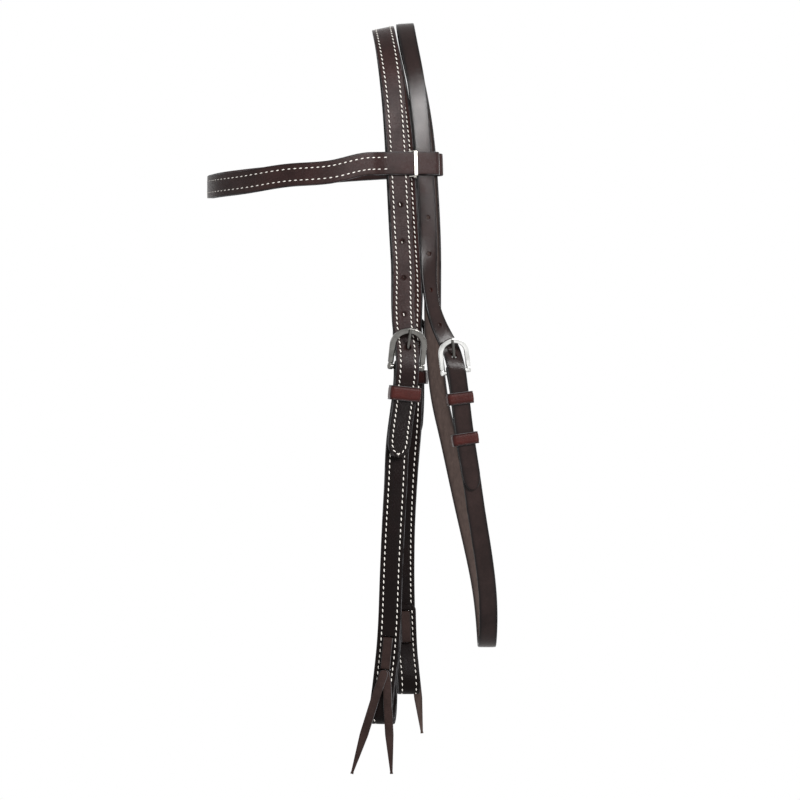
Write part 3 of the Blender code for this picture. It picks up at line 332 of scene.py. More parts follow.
class ThroatLine:
    """The throatlatch's middle line: down from its near buckle bar, under, up the far side, over the poll."""

    # X as a share of the step from bar to bottom, drop as a share of the drop from bar to bottom, Y as a
    # share of the throatlatch's half spread, and turn in degrees
    lower_shares = (
        (0.000, 0.000, -1.00, -6), (0.112, 0.089, -1.00, -6), (0.266, 0.236, -1.00, -6),
        (0.440, 0.361, -1.00, -5), (0.570, 0.466, -1.00, -4), (0.860, 0.686, -0.98, -2),
        (0.985, 0.832, -0.86, 0), (1.000, 0.945, -0.55, 0), (0.985, 1.000, 0.00, 0),
        (0.960, 0.935, 0.55, 0), (0.860, 0.815, 0.85, -3), (0.575, 0.640, 0.98, -6),
        (0.280, 0.487, 0.98, -8), (0.000, 0.335, 0.94, -10), (-0.215, 0.220, 0.91, -12),
        (-0.430, 0.105, 0.89, -14), (-0.555, -0.010, 0.88, -17), (-0.645, -0.150, 0.90, -19),
    )
    # X as a share of the throat strap's step behind the crown, drop as a share of the sleeve drop, turn
    entry_shares = ((1.27, 1.19, -40), (1.52, 1.315, -34))

    def __init__(self):
        self.half = HEAD_HALF - THROAT_STEP * math.tan(math.radians(TURN_DEG))
        reach = THROAT_BOTTOM_X - THROAT_BAR_X
        fall = THROAT_BOTTOM - THROAT_BAR_DROP
        stations = [(THROAT_BAR_X + a * reach, b * THROAT_HALF, -THROAT_BAR_DROP - c * fall, turn)
                    for a, c, b, turn in self.lower_shares]
        self.route = Route(stations)
        zone = [(CROWN_X + THROAT_STEP + LEAN * (drop - ARCH_DROP) - pull, drop)
                for drop, pull in ((SLEEVE_DROP, THROAT_SLEEVE_PULL), ((SLEEVE_DROP + ARCH_DROP) / 2, 0),
                                   (ARCH_DROP, THROAT_ARCH_PULL))]
        arch = []
        top = POLL_THROAT_RISE + HALF_DOUBLE
        for angle, turn in ((28, -15), (58, -3)):
            rise = (ARCH_DROP + top) * math.sin(math.radians(angle))
            shift = 1 - (ARCH_PULL_SHARE * (rise / ARCH_DROP) ** ARCH_POWER
                         * (1 - POLL_THROAT_X / (CROWN_X + THROAT_STEP - THROAT_ARCH_PULL)))
            arch.append(((CROWN_X + THROAT_STEP - THROAT_ARCH_PULL) * shift,
                         self.half * math.cos(math.radians(angle)), rise - ARCH_DROP, turn))
        stations += [(x + FAR_THROAT_STEP, self.half, -drop, -TURN_DEG) for x, drop in zone]
        stations += [(x + FAR_THROAT_STEP * -z / ARCH_DROP, y, z, turn) for x, y, z, turn in arch]
        stations += [(POLL_THROAT_X, 0, top, 4)]
        stations += [(x, -y, z, turn) for x, y, z, turn in arch[::-1]]
        stations += [(x, -self.half, -drop, -TURN_DEG) for x, drop in zone[::-1]]
        stations += [(CROWN_X + a * THROAT_STEP, -self.half * a ** ENTRY_POWER, -b * SLEEVE_DROP, turn)
                     for a, b, turn in self.entry_shares]
        billet = over_buckle(self, "throat", PLY, THROAT_FRAME_TALL, THROAT_FRAME_BAND,
                             HALF_DOUBLE + FIT + PLY / 2, THROAT_BILLET)
        self.strap = Route(stations + billet[::-1])

    def frame(self, down):
        """Points, upward, width and outward directions at each length down from the bar."""
        point, travel, wide, inward = self.route.frame(down)
        return point, -travel, wide, -inward

    def turn(self, down):
        """The strap's turn in degrees at a length down from the bar."""
        return self.route.value(down)[0, 3]


class BrowLine:
    """The browband's middle line from the turn of its near loop round the forehead to the far one's."""

    # X as a share of the reach, Y as a share of the spread and drop as a share of the fall
    nose_shares = (
        (-0.27, -1.00, 0.45), (-0.52, -0.98, 0.64), (-0.76, -0.81, 0.91), (-0.93, -0.48, 1.00),
        (-1.00, 0.00, 0.92), (-0.93, 0.48, 0.57), (-0.76, 0.81, 0.21), (-0.52, 0.98, -0.04),
        (-0.27, 1.00, -0.24),
    )

    def __init__(self):
        self.gap = HALF_DOUBLE + BROW_SLACK + PLY / 2
        tilt = math.cos(math.radians(TURN_DEG))
        reach = THROAT_STEP / tilt + THROAT_WIDTH / 2 + SIDE_SLACK - self.gap / 2
        self.turn_at = {-1: reach, 1: reach - (FAR_STEP - FAR_THROAT_STEP) / tilt}
        self.mouth = STRAP_WIDTH / 2 + SIDE_SLACK
        near = [self.loop_point(-1, along) for along in self.loop_stations(-1)]
        far = [self.loop_point(1, along) for along in self.loop_stations(1)]
        nose = [(a * BROW_REACH + (FAR_STEP if b > 0.5 else 0), b * BROW_SPREAD,
                 -BROW_DROP - c * BROW_FALL, 0) for a, b, c in self.nose_shares]
        self.route = Route(near + nose + far[::-1], (0, 0, 1))

    def loop_stations(self, side):
        """Lengths along a loop from its turn, past the crown to where its plies close."""
        turn_at = self.turn_at[side]
        return turn_at, turn_at / 2, 0, -self.mouth, -1.6 * self.mouth, -2.3 * self.mouth

    def loop_point(self, side, along):
        """A point in a loop, along it to the rear from the crown's middle."""
        drop = BROW_DROP - (BROW_FAR_RISE if side > 0 else 0)
        turn = math.radians(TURN_DEG)
        x = CROWN_X + LEAN * (drop - ARCH_DROP) + (FAR_STEP if side > 0 else 0) + along * math.cos(turn)
        y = side * (HEAD_HALF - along * math.sin(turn))
        return x, y, -drop + along * LEAN * 0.6, 0

    def lay(self, rows):
        """How far each ply stands off the middle: wide round the straps, close along the forehead."""
        along = np.where(rows < self.route.length / 2, self.turn_at[-1] - rows,
                         self.turn_at[1] - (self.route.length - rows))
        return PLY_OFFSET + (self.gap - PLY_OFFSET) * ease((along + self.mouth + BROW_MOUTH) / BROW_MOUTH)


CHEEKS = {label: CheekLine(side) for label, side in SIDES}
CROWN = crown_route(CHEEKS)
THROAT = ThroatLine()
BROW = BrowLine()
LINES = {**CHEEKS, "throat": THROAT}
# strap width, band and height of each buckle
BUCKLES = {"near": (STRAP_WIDTH, CHEEK_FRAME_BAND, CHEEK_FRAME_TALL),
           "far": (STRAP_WIDTH, CHEEK_FRAME_BAND, CHEEK_FRAME_TALL),
           "throat": (THROAT_WIDTH, THROAT_FRAME_BAND, THROAT_FRAME_TALL)}


def chape_lay(down):
    """How far each ply stands off the middle line as the strap opens round the buckle bar."""
    return PLY_OFFSET + (WRAP_RADIUS - PLY_OFFSET) * (1 - ease(np.asarray(down) / CHAPE_RUN))


def tip_half(distance, width, tip, nose):
    """Half a billet's width at each distance from its tip: a rounded ogive."""
    share = np.clip(distance / tip, 0, 1)
    return nose + (width / 2 - nose) * np.sqrt(1 - (1 - share) ** 2)


def chape_half(distance, width):
    """Half the width of a strap's squarer, turned back end at each distance from it."""
    return tip_half(distance, width, width / 4, width / 3)


# Finish of the leather and the thread
CORNER = 0.45 * MM
FACE_FALL = 0.1 * MM
GROOVE_DEEP = 0.16 * MM
GROOVE_WIDE = 0.5 * MM
STITCH_INSET = 2.9 * MM
BROW_INSET = 3.9 * MM
RUN_ON = 9.0 * MM
TIP_GAP = 2.4 * MM
CROWN_SLANT, CHEEK_SLANT, BROW_SLANT = 20.0, 8.0, 5.0
RUB_WIDE = 0.5 * MM
# The throatlatch's dark edge band runs wider than a burnished edge. The added width is painted shade along
# its edges, between it and the crown.
THROAT_DARK_EDGE_AND_SHADE = 1.7 * MM
THROAT_FALL = 0.16 * MM
INSETS = np.array((0.45, 1.3, 2.2, 2.55, 2.9, 3.25, 3.6, 5.0)) * MM
BROW_INSETS = np.array((0.45, 1.4, 3.2, 3.55, 3.9, 4.25, 4.6, 6.0)) * MM
THROAT_INSETS = np.array((0.45, 0.8, 1.2, 1.7, 2.3, 3.2, 4.6)) * MM
SLOT_DEEP = 36.8 * MM
SLOT_POWER = 0.35
# an eased end: its step as a share of the ply, and its width and thickness as shares of the strap's
END_STEP_SHARE, END_WIDE_SHARE, END_THICK_SHARE = 0.12, 0.96, 0.72
NOTCH_DEEP = 2 * WRAP_RADIUS + PLY + FIT


def bulk(skins):
    """Several skins as one: their points in a row, and each skin's faces counted on from the last."""
    points, faces, first = [], [], 0
    for some_points, some_faces in skins:
        points.append(some_points)
        faces += [tuple(corner + first for corner in face) for face in some_faces]
        first += len(some_points)
    return np.concatenate(points), faces


def skin(rows, ring=False):
    """A skin over rows of section points: each point joins its neighbours in its row and in the next row.

    The last point of a row joins the first. A ring joins its last row to its first, and any other skin is
    closed by a flat face at each end.
    """
    count, width = rows.shape[:2]
    index = np.arange(count * width).reshape(count, width)
    here = index if ring else index[:-1]
    after = np.roll(index, -1, axis=0) if ring else index[1:]
    quads = np.stack((here, np.roll(here, -1, axis=1), np.roll(after, -1, axis=1), after), axis=-1)
    faces = [tuple(quad) for quad in quads.reshape(-1, 4).tolist()]
    if not ring:
        faces += [tuple(index[0][::-1].tolist()), tuple(index[-1].tolist())]
    return rows.reshape(-1, 3), faces


def mesh_of(name, made, uv=None, marks=None, crease=35.0):
    """A mesh from points and faces with outward faces, its own UV map and its marks on the points."""
    points, faces = made
    mesh = bpy.data.meshes.new(name)
    mesh.from_pydata(points.tolist(), [], faces)
    if uv is not None:
        corners = np.empty(len(mesh.loops), int)
        mesh.loops.foreach_get("vertex_index", corners)
        layer = mesh.uv_layers.new(name="lay")
        layer.data.foreach_set("uv", np.ascontiguousarray(uv[corners], dtype=np.float32).ravel())
    for key, values in (marks or {}).items():
        mesh.attributes.new(key, "FLOAT", "POINT").data.foreach_set("value", values.astype(np.float32))
    shell = bmesh.new()
    shell.from_mesh(mesh)
    if shell.calc_volume(signed=True) < 0:
        bmesh.ops.reverse_faces(shell, faces=shell.faces)
    shell.to_mesh(mesh)
    shell.free()
    mesh.shade_smooth()
    mesh.set_sharp_from_angle(angle=math.radians(crease))
    return mesh


def add_piece(name, mesh, body, nodes=(), look=None):
    """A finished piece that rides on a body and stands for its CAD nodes."""
    if not mesh.materials:
        mesh.materials.append(finish(look))
    made = bpy.data.objects.new(name, mesh)
    bpy.context.scene.collection.objects.link(made)
    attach(made, body)
    if nodes:
        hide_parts(*nodes)
    return made


def with_holes(mesh, groups):
    """The mesh with each group of cutters taken out of it in turn, the cut leather in its own raw finish."""
    items = [bpy.data.objects.new("solid", mesh)]
    for cutters in groups:
        shape = mesh_of("cutters", bulk(cutters))
        shape.materials.append(finish("cut leather"))
        items.append(bpy.data.objects.new("cutters", shape))
        cut = items[0].modifiers.new("holes", "BOOLEAN")
        cut.operation = "DIFFERENCE"
        cut.solver = "EXACT"
        cut.material_mode = "TRANSFER"
        cut.object = items[-1]
    for item in items:
        bpy.context.scene.collection.objects.link(item)
    shown = items[0].evaluated_get(bpy.context.evaluated_depsgraph_get())
    done = bpy.data.meshes.new_from_object(shown)
    done.name = mesh.name
    for item in items:
        bpy.data.objects.remove(item)
    if len(done.polygons) < len(mesh.polygons):
        raise RuntimeError("the cut emptied " + mesh.name)
    return done


class Strip:
    """A strap row by row: its middle, its directions across and out of its face, and half its width."""

    def __init__(self, centre, across, face, halves, thin=1.0):
        self.centre, self.across, self.face = centre, across, face
        self.half, self.thin = (np.full(len(centre), value, dtype=float) for value in (halves, thin))
        steps = np.linalg.norm(np.diff(centre, axis=0), axis=1)
        self.s = np.concatenate(([0], np.cumsum(steps)))
        self.length = self.s[-1]

    def at(self, s):
        """Middle, across, face and half width at lengths along the strip, straight between its rows."""
        picked = [np.stack([np.interp(s, self.s, line[:, i]) for i in range(3)], axis=1)
                  for line in (self.centre, self.across, self.face)]
        return (*picked, np.interp(s, self.s, self.half))

    def rounded(self, ply):
        """The same strip with one more, narrower row at each end: its ends are eased, not sliced."""
        step = ply * END_STEP_SHARE
        ends = unit(np.gradient(self.centre, axis=0))[[0, -1]]
        centre = np.concatenate((self.centre[:1] - ends[:1] * step, self.centre,
                                 self.centre[-1:] + ends[1:] * step))
        twice = np.r_[0, 0:len(self.half), -1]
        grown = Strip(centre, self.across[twice], self.face[twice], self.half[twice])
        grown.half[[0, -1]] *= END_WIDE_SHARE
        grown.thin[[0, -1]] = END_THICK_SHARE
        grown.s -= step
        return grown


def laid(centre, wide, outward, halves):
    """A strip along a middle line, its width squared to its travel and its face on the outward side."""
    travel = unit(np.gradient(centre, axis=0))
    across = unit(wide - (wide * travel).sum(axis=1)[:, None] * travel)
    face = np.cross(across, travel)
    return Strip(centre, across, face * np.sign(face[0] @ outward), halves)


def hoop(centre, wide):
    """A closed strip: its face looks away from the middle of its outline."""
    travel = unit(np.roll(centre, -1, axis=0) - np.roll(centre, 1, axis=0))
    across = np.tile(unit(wide), (len(centre), 1))
    face = np.cross(across, travel)
    return Strip(centre, across, face * np.sign(((centre - centre.mean(axis=0)) * face).sum()), 1.0)


def strap_section(width, ply, corner=CORNER, grooves=(0.0, 0.0), insets=INSETS, fall=FACE_FALL,
                  inset=STITCH_INSET, rub=RUB_WIDE):
    """A strap's section from the middle of one edge: across, out of the face, and its marks.

    The corners are quarter circles, a groove is a dip of a bell curve beside the edge, and each face falls
    away from its middle by the fourth power of the distance.
    """
    half, level = width / 2, ply / 2
    face = np.concatenate((half - insets, [0], insets[::-1] - half))
    bell = np.exp(-((half - np.abs(face) - inset) / GROOVE_WIDE) ** 2)
    sag = fall * (face / half) ** 4
    arc = np.radians((0, 30, 60))
    arc_u = half - corner + corner * np.cos(arc)
    arc_v = level - fall - corner + corner * np.sin(arc)
    top = level - sag - grooves[0] * bell
    low = level - sag - grooves[1] * bell
    u = np.concatenate(([half], arc_u, face, -arc_u[::-1], [-half], -arc_u, face[::-1], arc_u[::-1]))
    v = np.concatenate(([0], arc_v, top, arc_v[::-1], [0], -arc_v, -low, -arc_v[::-1]))
    near_edge = np.exp(-((half - np.abs(face)) / rub) ** 2)
    ones, none = np.ones(len(arc)), np.zeros(len(arc))
    edge = np.concatenate(([1], ones, near_edge, ones, [1], ones, near_edge, ones))
    flesh = np.concatenate(([0], none, 0 * face, none, [0], none, 0 * face + 1, none))
    # The groove mark carries painted shade: it darkens the colour in the stitch grooves.
    top_dip, low_dip = (bell * (deep > 0) for deep in grooves)
    groove = np.concatenate(([0], none, top_dip, none, [0], none, low_dip, none))
    return np.stack((u, v), axis=1), {"edge": edge, "flesh": flesh, "groove": groove}


def strap_mesh(name, looks, strip, width, ply, ring=False, **section_settings):
    """A section carried along a strip: each row's points are its middle, plus the section's across times the
    row's share of the full width, plus the section's height out of the face. The first look is the faces',
    and the second, if given, is the cut edges'.
    """
    section, marks = strap_section(width, ply, **section_settings)
    if not ring:
        strip = strip.rounded(ply)
    scale = strip.half / (width / 2)
    rows = (strip.centre[:, None] + strip.across[:, None] * (section[None, :, :1] * scale[:, None, None])
            + strip.face[:, None] * (section[None, :, 1:] * strip.thin[:, None, None]))
    uv = np.stack(np.broadcast_arrays(section[None, :, 0] * scale[:, None], strip.s[:, None]), axis=-1)
    spread = {key: np.tile(values, len(rows)) for key, values in marks.items()}
    mesh = mesh_of(name, skin(rows, ring), uv.reshape(-1, 2), spread)
    for look in looks:
        mesh.materials.append(finish(look))
    if len(looks) > 1:
        wide = len(section)
        flank = np.isin(np.arange(wide), (0, 1, wide // 2 - 1, wide // 2, wide // 2 + 1, wide - 2, wide - 1))
        ends = 0 if ring else 2
        which = np.concatenate((np.tile(flank, (len(mesh.polygons) - ends) // wide), np.ones(ends)))
        mesh.polygons.foreach_set("material_index", which.astype(np.int32))
    return mesh


def add_strap(name, looks, strip, width, ply, body, nodes, slot, cutters=(), **settings):
    """A strap's mesh with its holes cut, as a finished piece."""
    mesh = strap_mesh(name, looks, strip, width, ply, **settings)
    add_piece(name, with_holes(mesh, cutters) if cutters else mesh, body, nodes)


def add_stitches(name, runs, body):
    """Runs of stitches as one piece."""
    thread = bpy.context.scene.headstall_thread
    add_piece(name, stitch_mesh(name, runs, thread.length, thread.width), body, look="cream thread")


def round_rows(start, stop, side, other, radius, sides=20):
    """Two circles of points, the ends of a round cutter from start to stop."""
    angle = once_round(sides)[:, None]
    circle = radius * (side * np.cos(angle) + other * np.sin(angle))
    return np.stack((start + circle, stop + circle))


def slot_rows(point, wide, out, along, size):
    """Two rounded oblongs of points, the ends of a slot's cutter through a strap."""
    share, rise = squarish(once_round(24), SLOT_POWER)
    outline = wide * share[:, None] * size[0] / 2 + along * rise[:, None] * size[2] / 2
    return np.stack((point - out * size[1] / 2 + outline, point + out * size[1] / 2 + outline))


def rim_rows(point, side, other, out, radius, bead):
    """A thin bead round a punched hole: a small circle carried round a larger one."""
    turn = once_round(24)[:, None, None]
    small = once_round(6)[None, :, None]
    away = side * np.cos(turn) + other * np.sin(turn)
    return point + away * (radius + bead * (0.9 + np.cos(small))) + out * bead * (0.8 * np.sin(small) - 0.25)


def stitch_run(strip, start, stop, pitch, ply, back=False, slant=0.0, inset=STITCH_INSET):
    """Both rows of stitches along one face of a strip: middles and directions.

    A row is the strap's outline moved inward by the inset, square to the outline, so that the two rows close
    in a V where the strap is cut to a tip.
    """
    fine = np.linspace(0, strip.length, 1600)
    half = strip.at(fine)[3]
    slope = np.gradient(half, fine)
    root = np.sqrt(1 + slope ** 2)
    down, inward = fine + inset * slope / root, half - inset / root
    kept = (inward > ROWS_MEET) & (down > start) & (down < stop)
    down, inward = down[kept], inward[kept]
    for at, end in ((0, start), (len(down), stop)):
        if strip.at(np.array([end]))[3][0] < half.max() - TIP_NARROWER:
            down, inward = np.insert(down, at, end), np.insert(inward, at, ROWS_MEET)
    order = np.argsort(down)
    down, inward = down[order], inward[order]
    run = np.concatenate(([0], np.cumsum(np.hypot(np.diff(down), np.diff(inward)))))
    even = np.linspace(0, run[-1], max(2, int(round(run[-1] / pitch)) + 1))
    s, aside = np.interp(even, run, down), np.interp(even, run, inward)
    middle, across, face, half = strip.at(s)
    if back:
        face = -face
    found = []
    for side in (-1, 1):
        spot = middle + across * (side * aside)[:, None] + face * (ply / 2 - GROOVE_DEEP * 0.7)
        heading = unit(np.gradient(spot, axis=0))
        lean = math.radians(slant)
        heading = unit(heading * math.cos(lean) + np.cross(face, heading) * math.sin(lean))
        found.append((spot, heading, face))
    return found


def stitch_mesh(name, runs, length, wide):
    """Every stitch as a short flattened grain of six sides whose ends dip into the leather."""
    spot, heading, face = (np.concatenate([run[i] for run in runs]) for i in range(3))
    side = np.cross(face, heading)
    share = np.array((-1, -0.72, 0, 0.72, 1))
    girth = np.array((0.4, 0.86, 1, 0.86, 0.4)) * wide / 2
    angle = once_round(6)
    along = np.repeat(share * length / 2, 6)
    around = (girth[:, None] * np.cos(angle)).ravel()
    up = (girth[:, None] * np.sin(angle) * 0.8 - (share[:, None] ** 2) * wide * 0.22).ravel()
    points = (spot[:, None] + heading[:, None] * along[None, :, None] + side[:, None] * around[None, :, None]
              + face[:, None] * up[None, :, None])
    index = np.arange(30).reshape(5, 6)
    quads = np.stack((index[:-1], np.roll(index[:-1], -1, 1), np.roll(index[1:], -1, 1), index[1:]), -1)
    grain = [tuple(q) for q in quads.reshape(-1, 4).tolist()]
    grain += [tuple(index[0][::-1].tolist()), tuple(index[-1].tolist())]
    first = np.arange(len(spot)) * 30
    faces = [tuple(corner + start for corner in one) for start in first.tolist() for one in grain]
    lay = np.stack((np.tile(along, len(spot)), np.tile(np.tile(angle * wide / 2, 5), len(spot))), axis=1)
    return mesh_of(name, (points.reshape(-1, 3), faces), lay, crease=80.0)


class Finish:
    """A material in the making: its tree, its shader, and short ways to add to them."""

    def __init__(self, name, **sockets):
        self.material = bpy.data.materials.new(name)
        self.material.use_nodes = True
        self.tree = self.material.node_tree
        self.shader = self.tree.nodes["Principled BSDF"]
        for key, value in sockets.items():
            self.shader.inputs[key.replace("_", " ")].default_value = value

    def add(self, kind, inputs, output=0, **settings):
        """A new node with its settings; each input takes a number, a colour or another node's output."""
        node = self.tree.nodes.new("ShaderNode" + kind)
        for key, value in settings.items():
            setattr(node, key, value)
        for key, value in inputs.items():
            self.join(node.inputs[key], value)
        return node.outputs[output]

    def join(self, socket, value):
        """A socket gets a value, or a link where the value is another node's output."""
        if isinstance(value, bpy.types.NodeSocket):
            self.tree.links.new(value, socket)
        else:
            socket.default_value = value

    def place(self, scale=(1, 1, 1), uv=False):
        """Object coordinates, or the piece's own lay along and across, stretched by a scale."""
        spot = self.add("UVMap", {}, uv_map="lay") if uv else self.add("TexCoord", {}, "Object")
        return self.add("Mapping", {"Vector": spot, "Scale": scale})

    def noise(self, scale, detail=3.0, rough=0.55, stretch=(1, 1, 1), uv=False):
        """Noise of a scale in lumps to the metre."""
        return self.add("TexNoise", {"Vector": self.place(stretch, uv), "Scale": scale, "Detail": detail,
                                     "Roughness": rough}, "Fac")

    def span(self, value, low, high, start=0.0, stop=1.0):
        """A value from low to high brought to start to stop, held at both ends."""
        return self.add("MapRange", {"Value": value, "From Min": low, "From Max": high, "To Min": start,
                                     "To Max": stop}, "Result")

    def blend(self, share, first, second):
        """Two colours mixed by a share."""
        node = self.tree.nodes.new("ShaderNodeMix")
        node.data_type = "RGBA"
        self.join(node.inputs[0], share)
        self.join(node.inputs[6], first)
        self.join(node.inputs[7], second)
        return node.outputs[2]

    def sum(self, first, second, operation="ADD"):
        """Two values joined by a sum or another operation."""
        return self.add("Math", {0: first, 1: second}, operation=operation)

    def mark(self, name):
        """A mark that the piece carries on its points."""
        return self.add("Attribute", {}, "Fac", attribute_name=name)

    def bump(self, height, distance, strength=1.0, under=None):
        """A bump of a depth in metres, on top of another one if given."""
        inputs = {"Height": height, "Distance": distance, "Strength": strength}
        if under is not None:
            inputs["Normal"] = under
        return self.add("Bump", inputs, "Normal")

    def done(self, **links):
        """The material with these outputs joined to its shader."""
        for key, value in links.items():
            self.join(self.shader.inputs[key.replace("_", " ")], value)
        return self.material


def tone(colour, factor=1.0):
    """A colour property as four numbers, made lighter or darker by a factor."""
    return (*(channel * factor for channel in colour[:3]), 1.0)


# Leather: the heights between which its colour turns, noise in lumps to the metre, relief in metres, and the
# colours of the painted highlight along a strap's corners
DARKEN_FROM, DARKEN_TO = -0.205, -0.262
MOTTLE_LUMPS, GRAIN_LUMPS, CREASE_LUMPS, FIBRE_LUMPS, HIGHLIGHT_LUMPS = 55, 900, 16, 520, 90
PORES_PER_METRE = 1500
PORE_RELIEF, GRAIN_RELIEF, CREASE_RELIEF, WAVE_RELIEF = 0.00006, 0.00008, 0.00022, 0.0004
CORNER_HIGHLIGHT, THROAT_CORNER_HIGHLIGHT = (0.13, 0.125, 0.13, 1.0), (0.06, 0.058, 0.06, 1.0)


def leather(name, upper, lower, flesh, edge, rough, gloss, pores=1.0, corner_highlight=CORNER_HIGHLIGHT, relief=1.0):
    """Oiled strap leather: pebbled grain, creases across the strap, darker lower down, burnished edges.

    The colour goes from upper to lower with height, is mottled by slow noise, and turns to the flesh side's
    brown on the marked inner faces. Painted shade darkens the creases and stitch grooves, and a painted
    highlight runs along the corners. The grain is cell noise under fine noise, both as a bump.
    """
    make = Finish(name, Specular_IOR_Level=gloss)
    height = make.add("SeparateXYZ", {"Vector": make.place()}, "Z")
    darker_share = make.span(height, DARKEN_FROM, DARKEN_TO)
    slow = make.noise(MOTTLE_LUMPS, 4, 0.6)
    fine = make.noise(GRAIN_LUMPS, 3, 0.6)
    mottle = make.sum(make.sum(slow, 0.75, "MULTIPLY"), make.sum(fine, 0.25, "MULTIPLY"))
    mottle = make.span(mottle, 0.38, 0.62)
    high = make.blend(mottle, tone(upper, 0.72), tone(upper, 1.32))
    low = make.blend(mottle, tone(lower, 0.7), tone(lower, 1.4))
    colour = make.blend(darker_share, high, low)
    crease = make.noise(CREASE_LUMPS, 5, 0.62, (14, 130, 1), uv=True)
    line = make.span(crease, 0.56, 0.66)
    # Painted shade: the colour darkens along the crease lines.
    colour = make.blend(make.sum(line, 0.35, "MULTIPLY"), colour, tone(lower, 0.6))
    cells = make.add("TexVoronoi", {"Vector": make.place(), "Scale": PORES_PER_METRE / pores,
                                    "Randomness": 1.0}, "Distance", feature="DISTANCE_TO_EDGE")
    pore = make.span(cells, 0.0, 0.16)
    colour = make.blend(make.sum(make.sum(1.0, pore, "SUBTRACT"), 0.45, "MULTIPLY"), colour, tone(lower, 0.5))
    fibre = make.noise(FIBRE_LUMPS, 5, 0.7, (1, 1, 0.35))
    raw = make.blend(make.span(fibre, 0.32, 0.68), tone(flesh, 0.78), tone(flesh, 1.25))
    inner = make.mark("flesh")
    colour = make.blend(inner, colour, raw)
    # Painted shade: the colour darkens in the stitch grooves.
    groove = make.mark("groove")
    colour = make.blend(make.sum(groove, 0.5, "MULTIPLY"), colour, tone(lower, 0.45))
    rim = make.mark("edge")
    colour = make.blend(make.sum(rim, 0.92, "MULTIPLY"), colour, tone(edge))
    # Painted highlight: a thin light line along the corners, patchy by noise, where the bevel would catch the
    # lamps.
    rubbed = make.sum(make.span(make.noise(HIGHLIGHT_LUMPS, 4, 0.6), 0.38, 0.54), make.span(rim, 0.93, 1.0),
                      "MULTIPLY")
    colour = make.blend(rubbed, colour, corner_highlight)
    shine = make.span(mottle, 0.0, 1.0, rough + 0.07, rough - 0.05)
    shine = make.sum(shine, make.sum(inner, 0.3, "MULTIPLY"))
    shine = make.sum(shine, make.sum(rim, -0.06, "MULTIPLY"))
    depth = make.bump(pore, PORE_RELIEF * pores, 0.55 * relief)
    depth = make.bump(fine, GRAIN_RELIEF, 0.5 * relief, depth)
    depth = make.bump(crease, CREASE_RELIEF, 0.5 * relief, depth)
    depth = make.bump(slow, WAVE_RELIEF, 0.35 * relief, depth)
    return make.done(Base_Color=colour, Roughness=shine, Normal=depth)


def raw_leather(name, colour, gloss=0.1):
    """Cut leather inside a hole or slot, or along an edge: fibre with no grain."""
    make = Finish(name, Specular_IOR_Level=gloss, Roughness=0.75)
    fibre = make.noise(1300, 4, 0.7)
    shade = make.blend(make.span(fibre, 0.3, 0.7), tone(colour, 0.5), tone(colour, 1.4))
    return make.done(Base_Color=shade, Normal=make.bump(fibre, 0.0002, 0.6))


def waxed_thread(name, colour):
    """Two ply waxed thread: its twist is a slanted wave along each stitch, darkened between the plies as
    painted shade, and a little soiled by noise.
    """
    make = Finish(name, Specular_IOR_Level=0.25, Roughness=0.62)
    twist = make.add("TexWave", {"Vector": make.place((1, 0.55, 1), uv=True), "Scale": 420.0}, "Fac",
                     bands_direction="DIAGONAL")
    soil = make.span(make.noise(140, 3), 0.45, 0.75)
    shade = make.blend(make.sum(soil, 0.35, "MULTIPLY"), tone(colour), tone(colour, 0.62))
    # Painted shade between the twisted plies.
    shade = make.blend(make.span(twist, 0.0, 0.35, 0.35, 0.0), shade, tone(colour, 0.45))
    return make.done(Base_Color=shade, Normal=make.bump(twist, 0.00012, 0.6))


def plated(name, colour, rough, scratch=0.5, dull=0.6):
    """Plated metal: buffing lines and a few dull spots in its gloss, with the faint waves of a casting."""
    make = Finish(name, Metallic=1.0)
    lines = make.noise(700, 4, 0.65, (1, 1, 0.12))
    spots = make.noise(110, 4, 0.6)
    shade = make.blend(make.span(spots, 0.45, 0.72), tone(colour), tone(colour, dull))
    shine = make.sum(make.span(lines, 0.3, 0.7, rough - 0.05, rough + 0.07),
                     make.span(spots, 0.5, 0.75, 0.0, 0.14))
    depth = make.bump(spots, 0.0005, 0.25)
    depth = make.bump(lines, 0.00003 * scratch, 0.6, depth)
    return make.done(Base_Color=shade, Roughness=shine, Normal=depth)


def studio_floor(name, colour):
    """Matt paper: pale, faintly uneven and without gloss."""
    make = Finish(name, Roughness=0.9, Specular_IOR_Level=0.0)
    fleck = make.noise(9, 3)
    shade = make.blend(make.span(fleck, 0.3, 0.7), tone(colour, 0.98), tone(colour, 1.0))
    return make.done(Base_Color=shade)


# Sections of the small pieces, and the shape of a buckle's leg from its heel up
KEEPER_INSETS = np.array((0.4, 0.75, 1.0, 1.2, 1.45, 1.9, 2.7, 3.5)) * MM
KEEPER_CREASE = 1.2 * MM
KEEPER_CORNER = 2.5 * MM
LACE_INSETS = np.array((0.3, 0.8, 1.6)) * MM
DIVIDER_INSETS = np.array((0.18, 0.6)) * MM
KEEPER_EASE, LACE_CORNER, DIVIDER_CORNER = 0.4 * MM, 0.3 * MM, 0.18 * MM
KEEPER_FALL, LACE_FALL, DIVIDER_FALL = 0.2 * MM, 0.08 * MM, 0.05 * MM
CREASE_DEEP, KEEPER_RUB = 0.2 * MM, 0.9 * MM
PRONG_RADIUS = 1.1 * TONGUE_RADIUS
HEEL_RISE_SHARES = (-0.52, -0.46, -0.32, 0.0, 0.34, 0.52, 0.62, 0.72, 0.84, 1.0)
HEEL_WIDE_SHARES = (0.35, 0.72, 0.96, 1.04, 0.98, 0.82, 0.66, 0.82, 0.98, 1.0)
BAND_POWER = 4.5
RIM_BEAD = 0.3 * MM
OVERRUN = 9.0 * MM
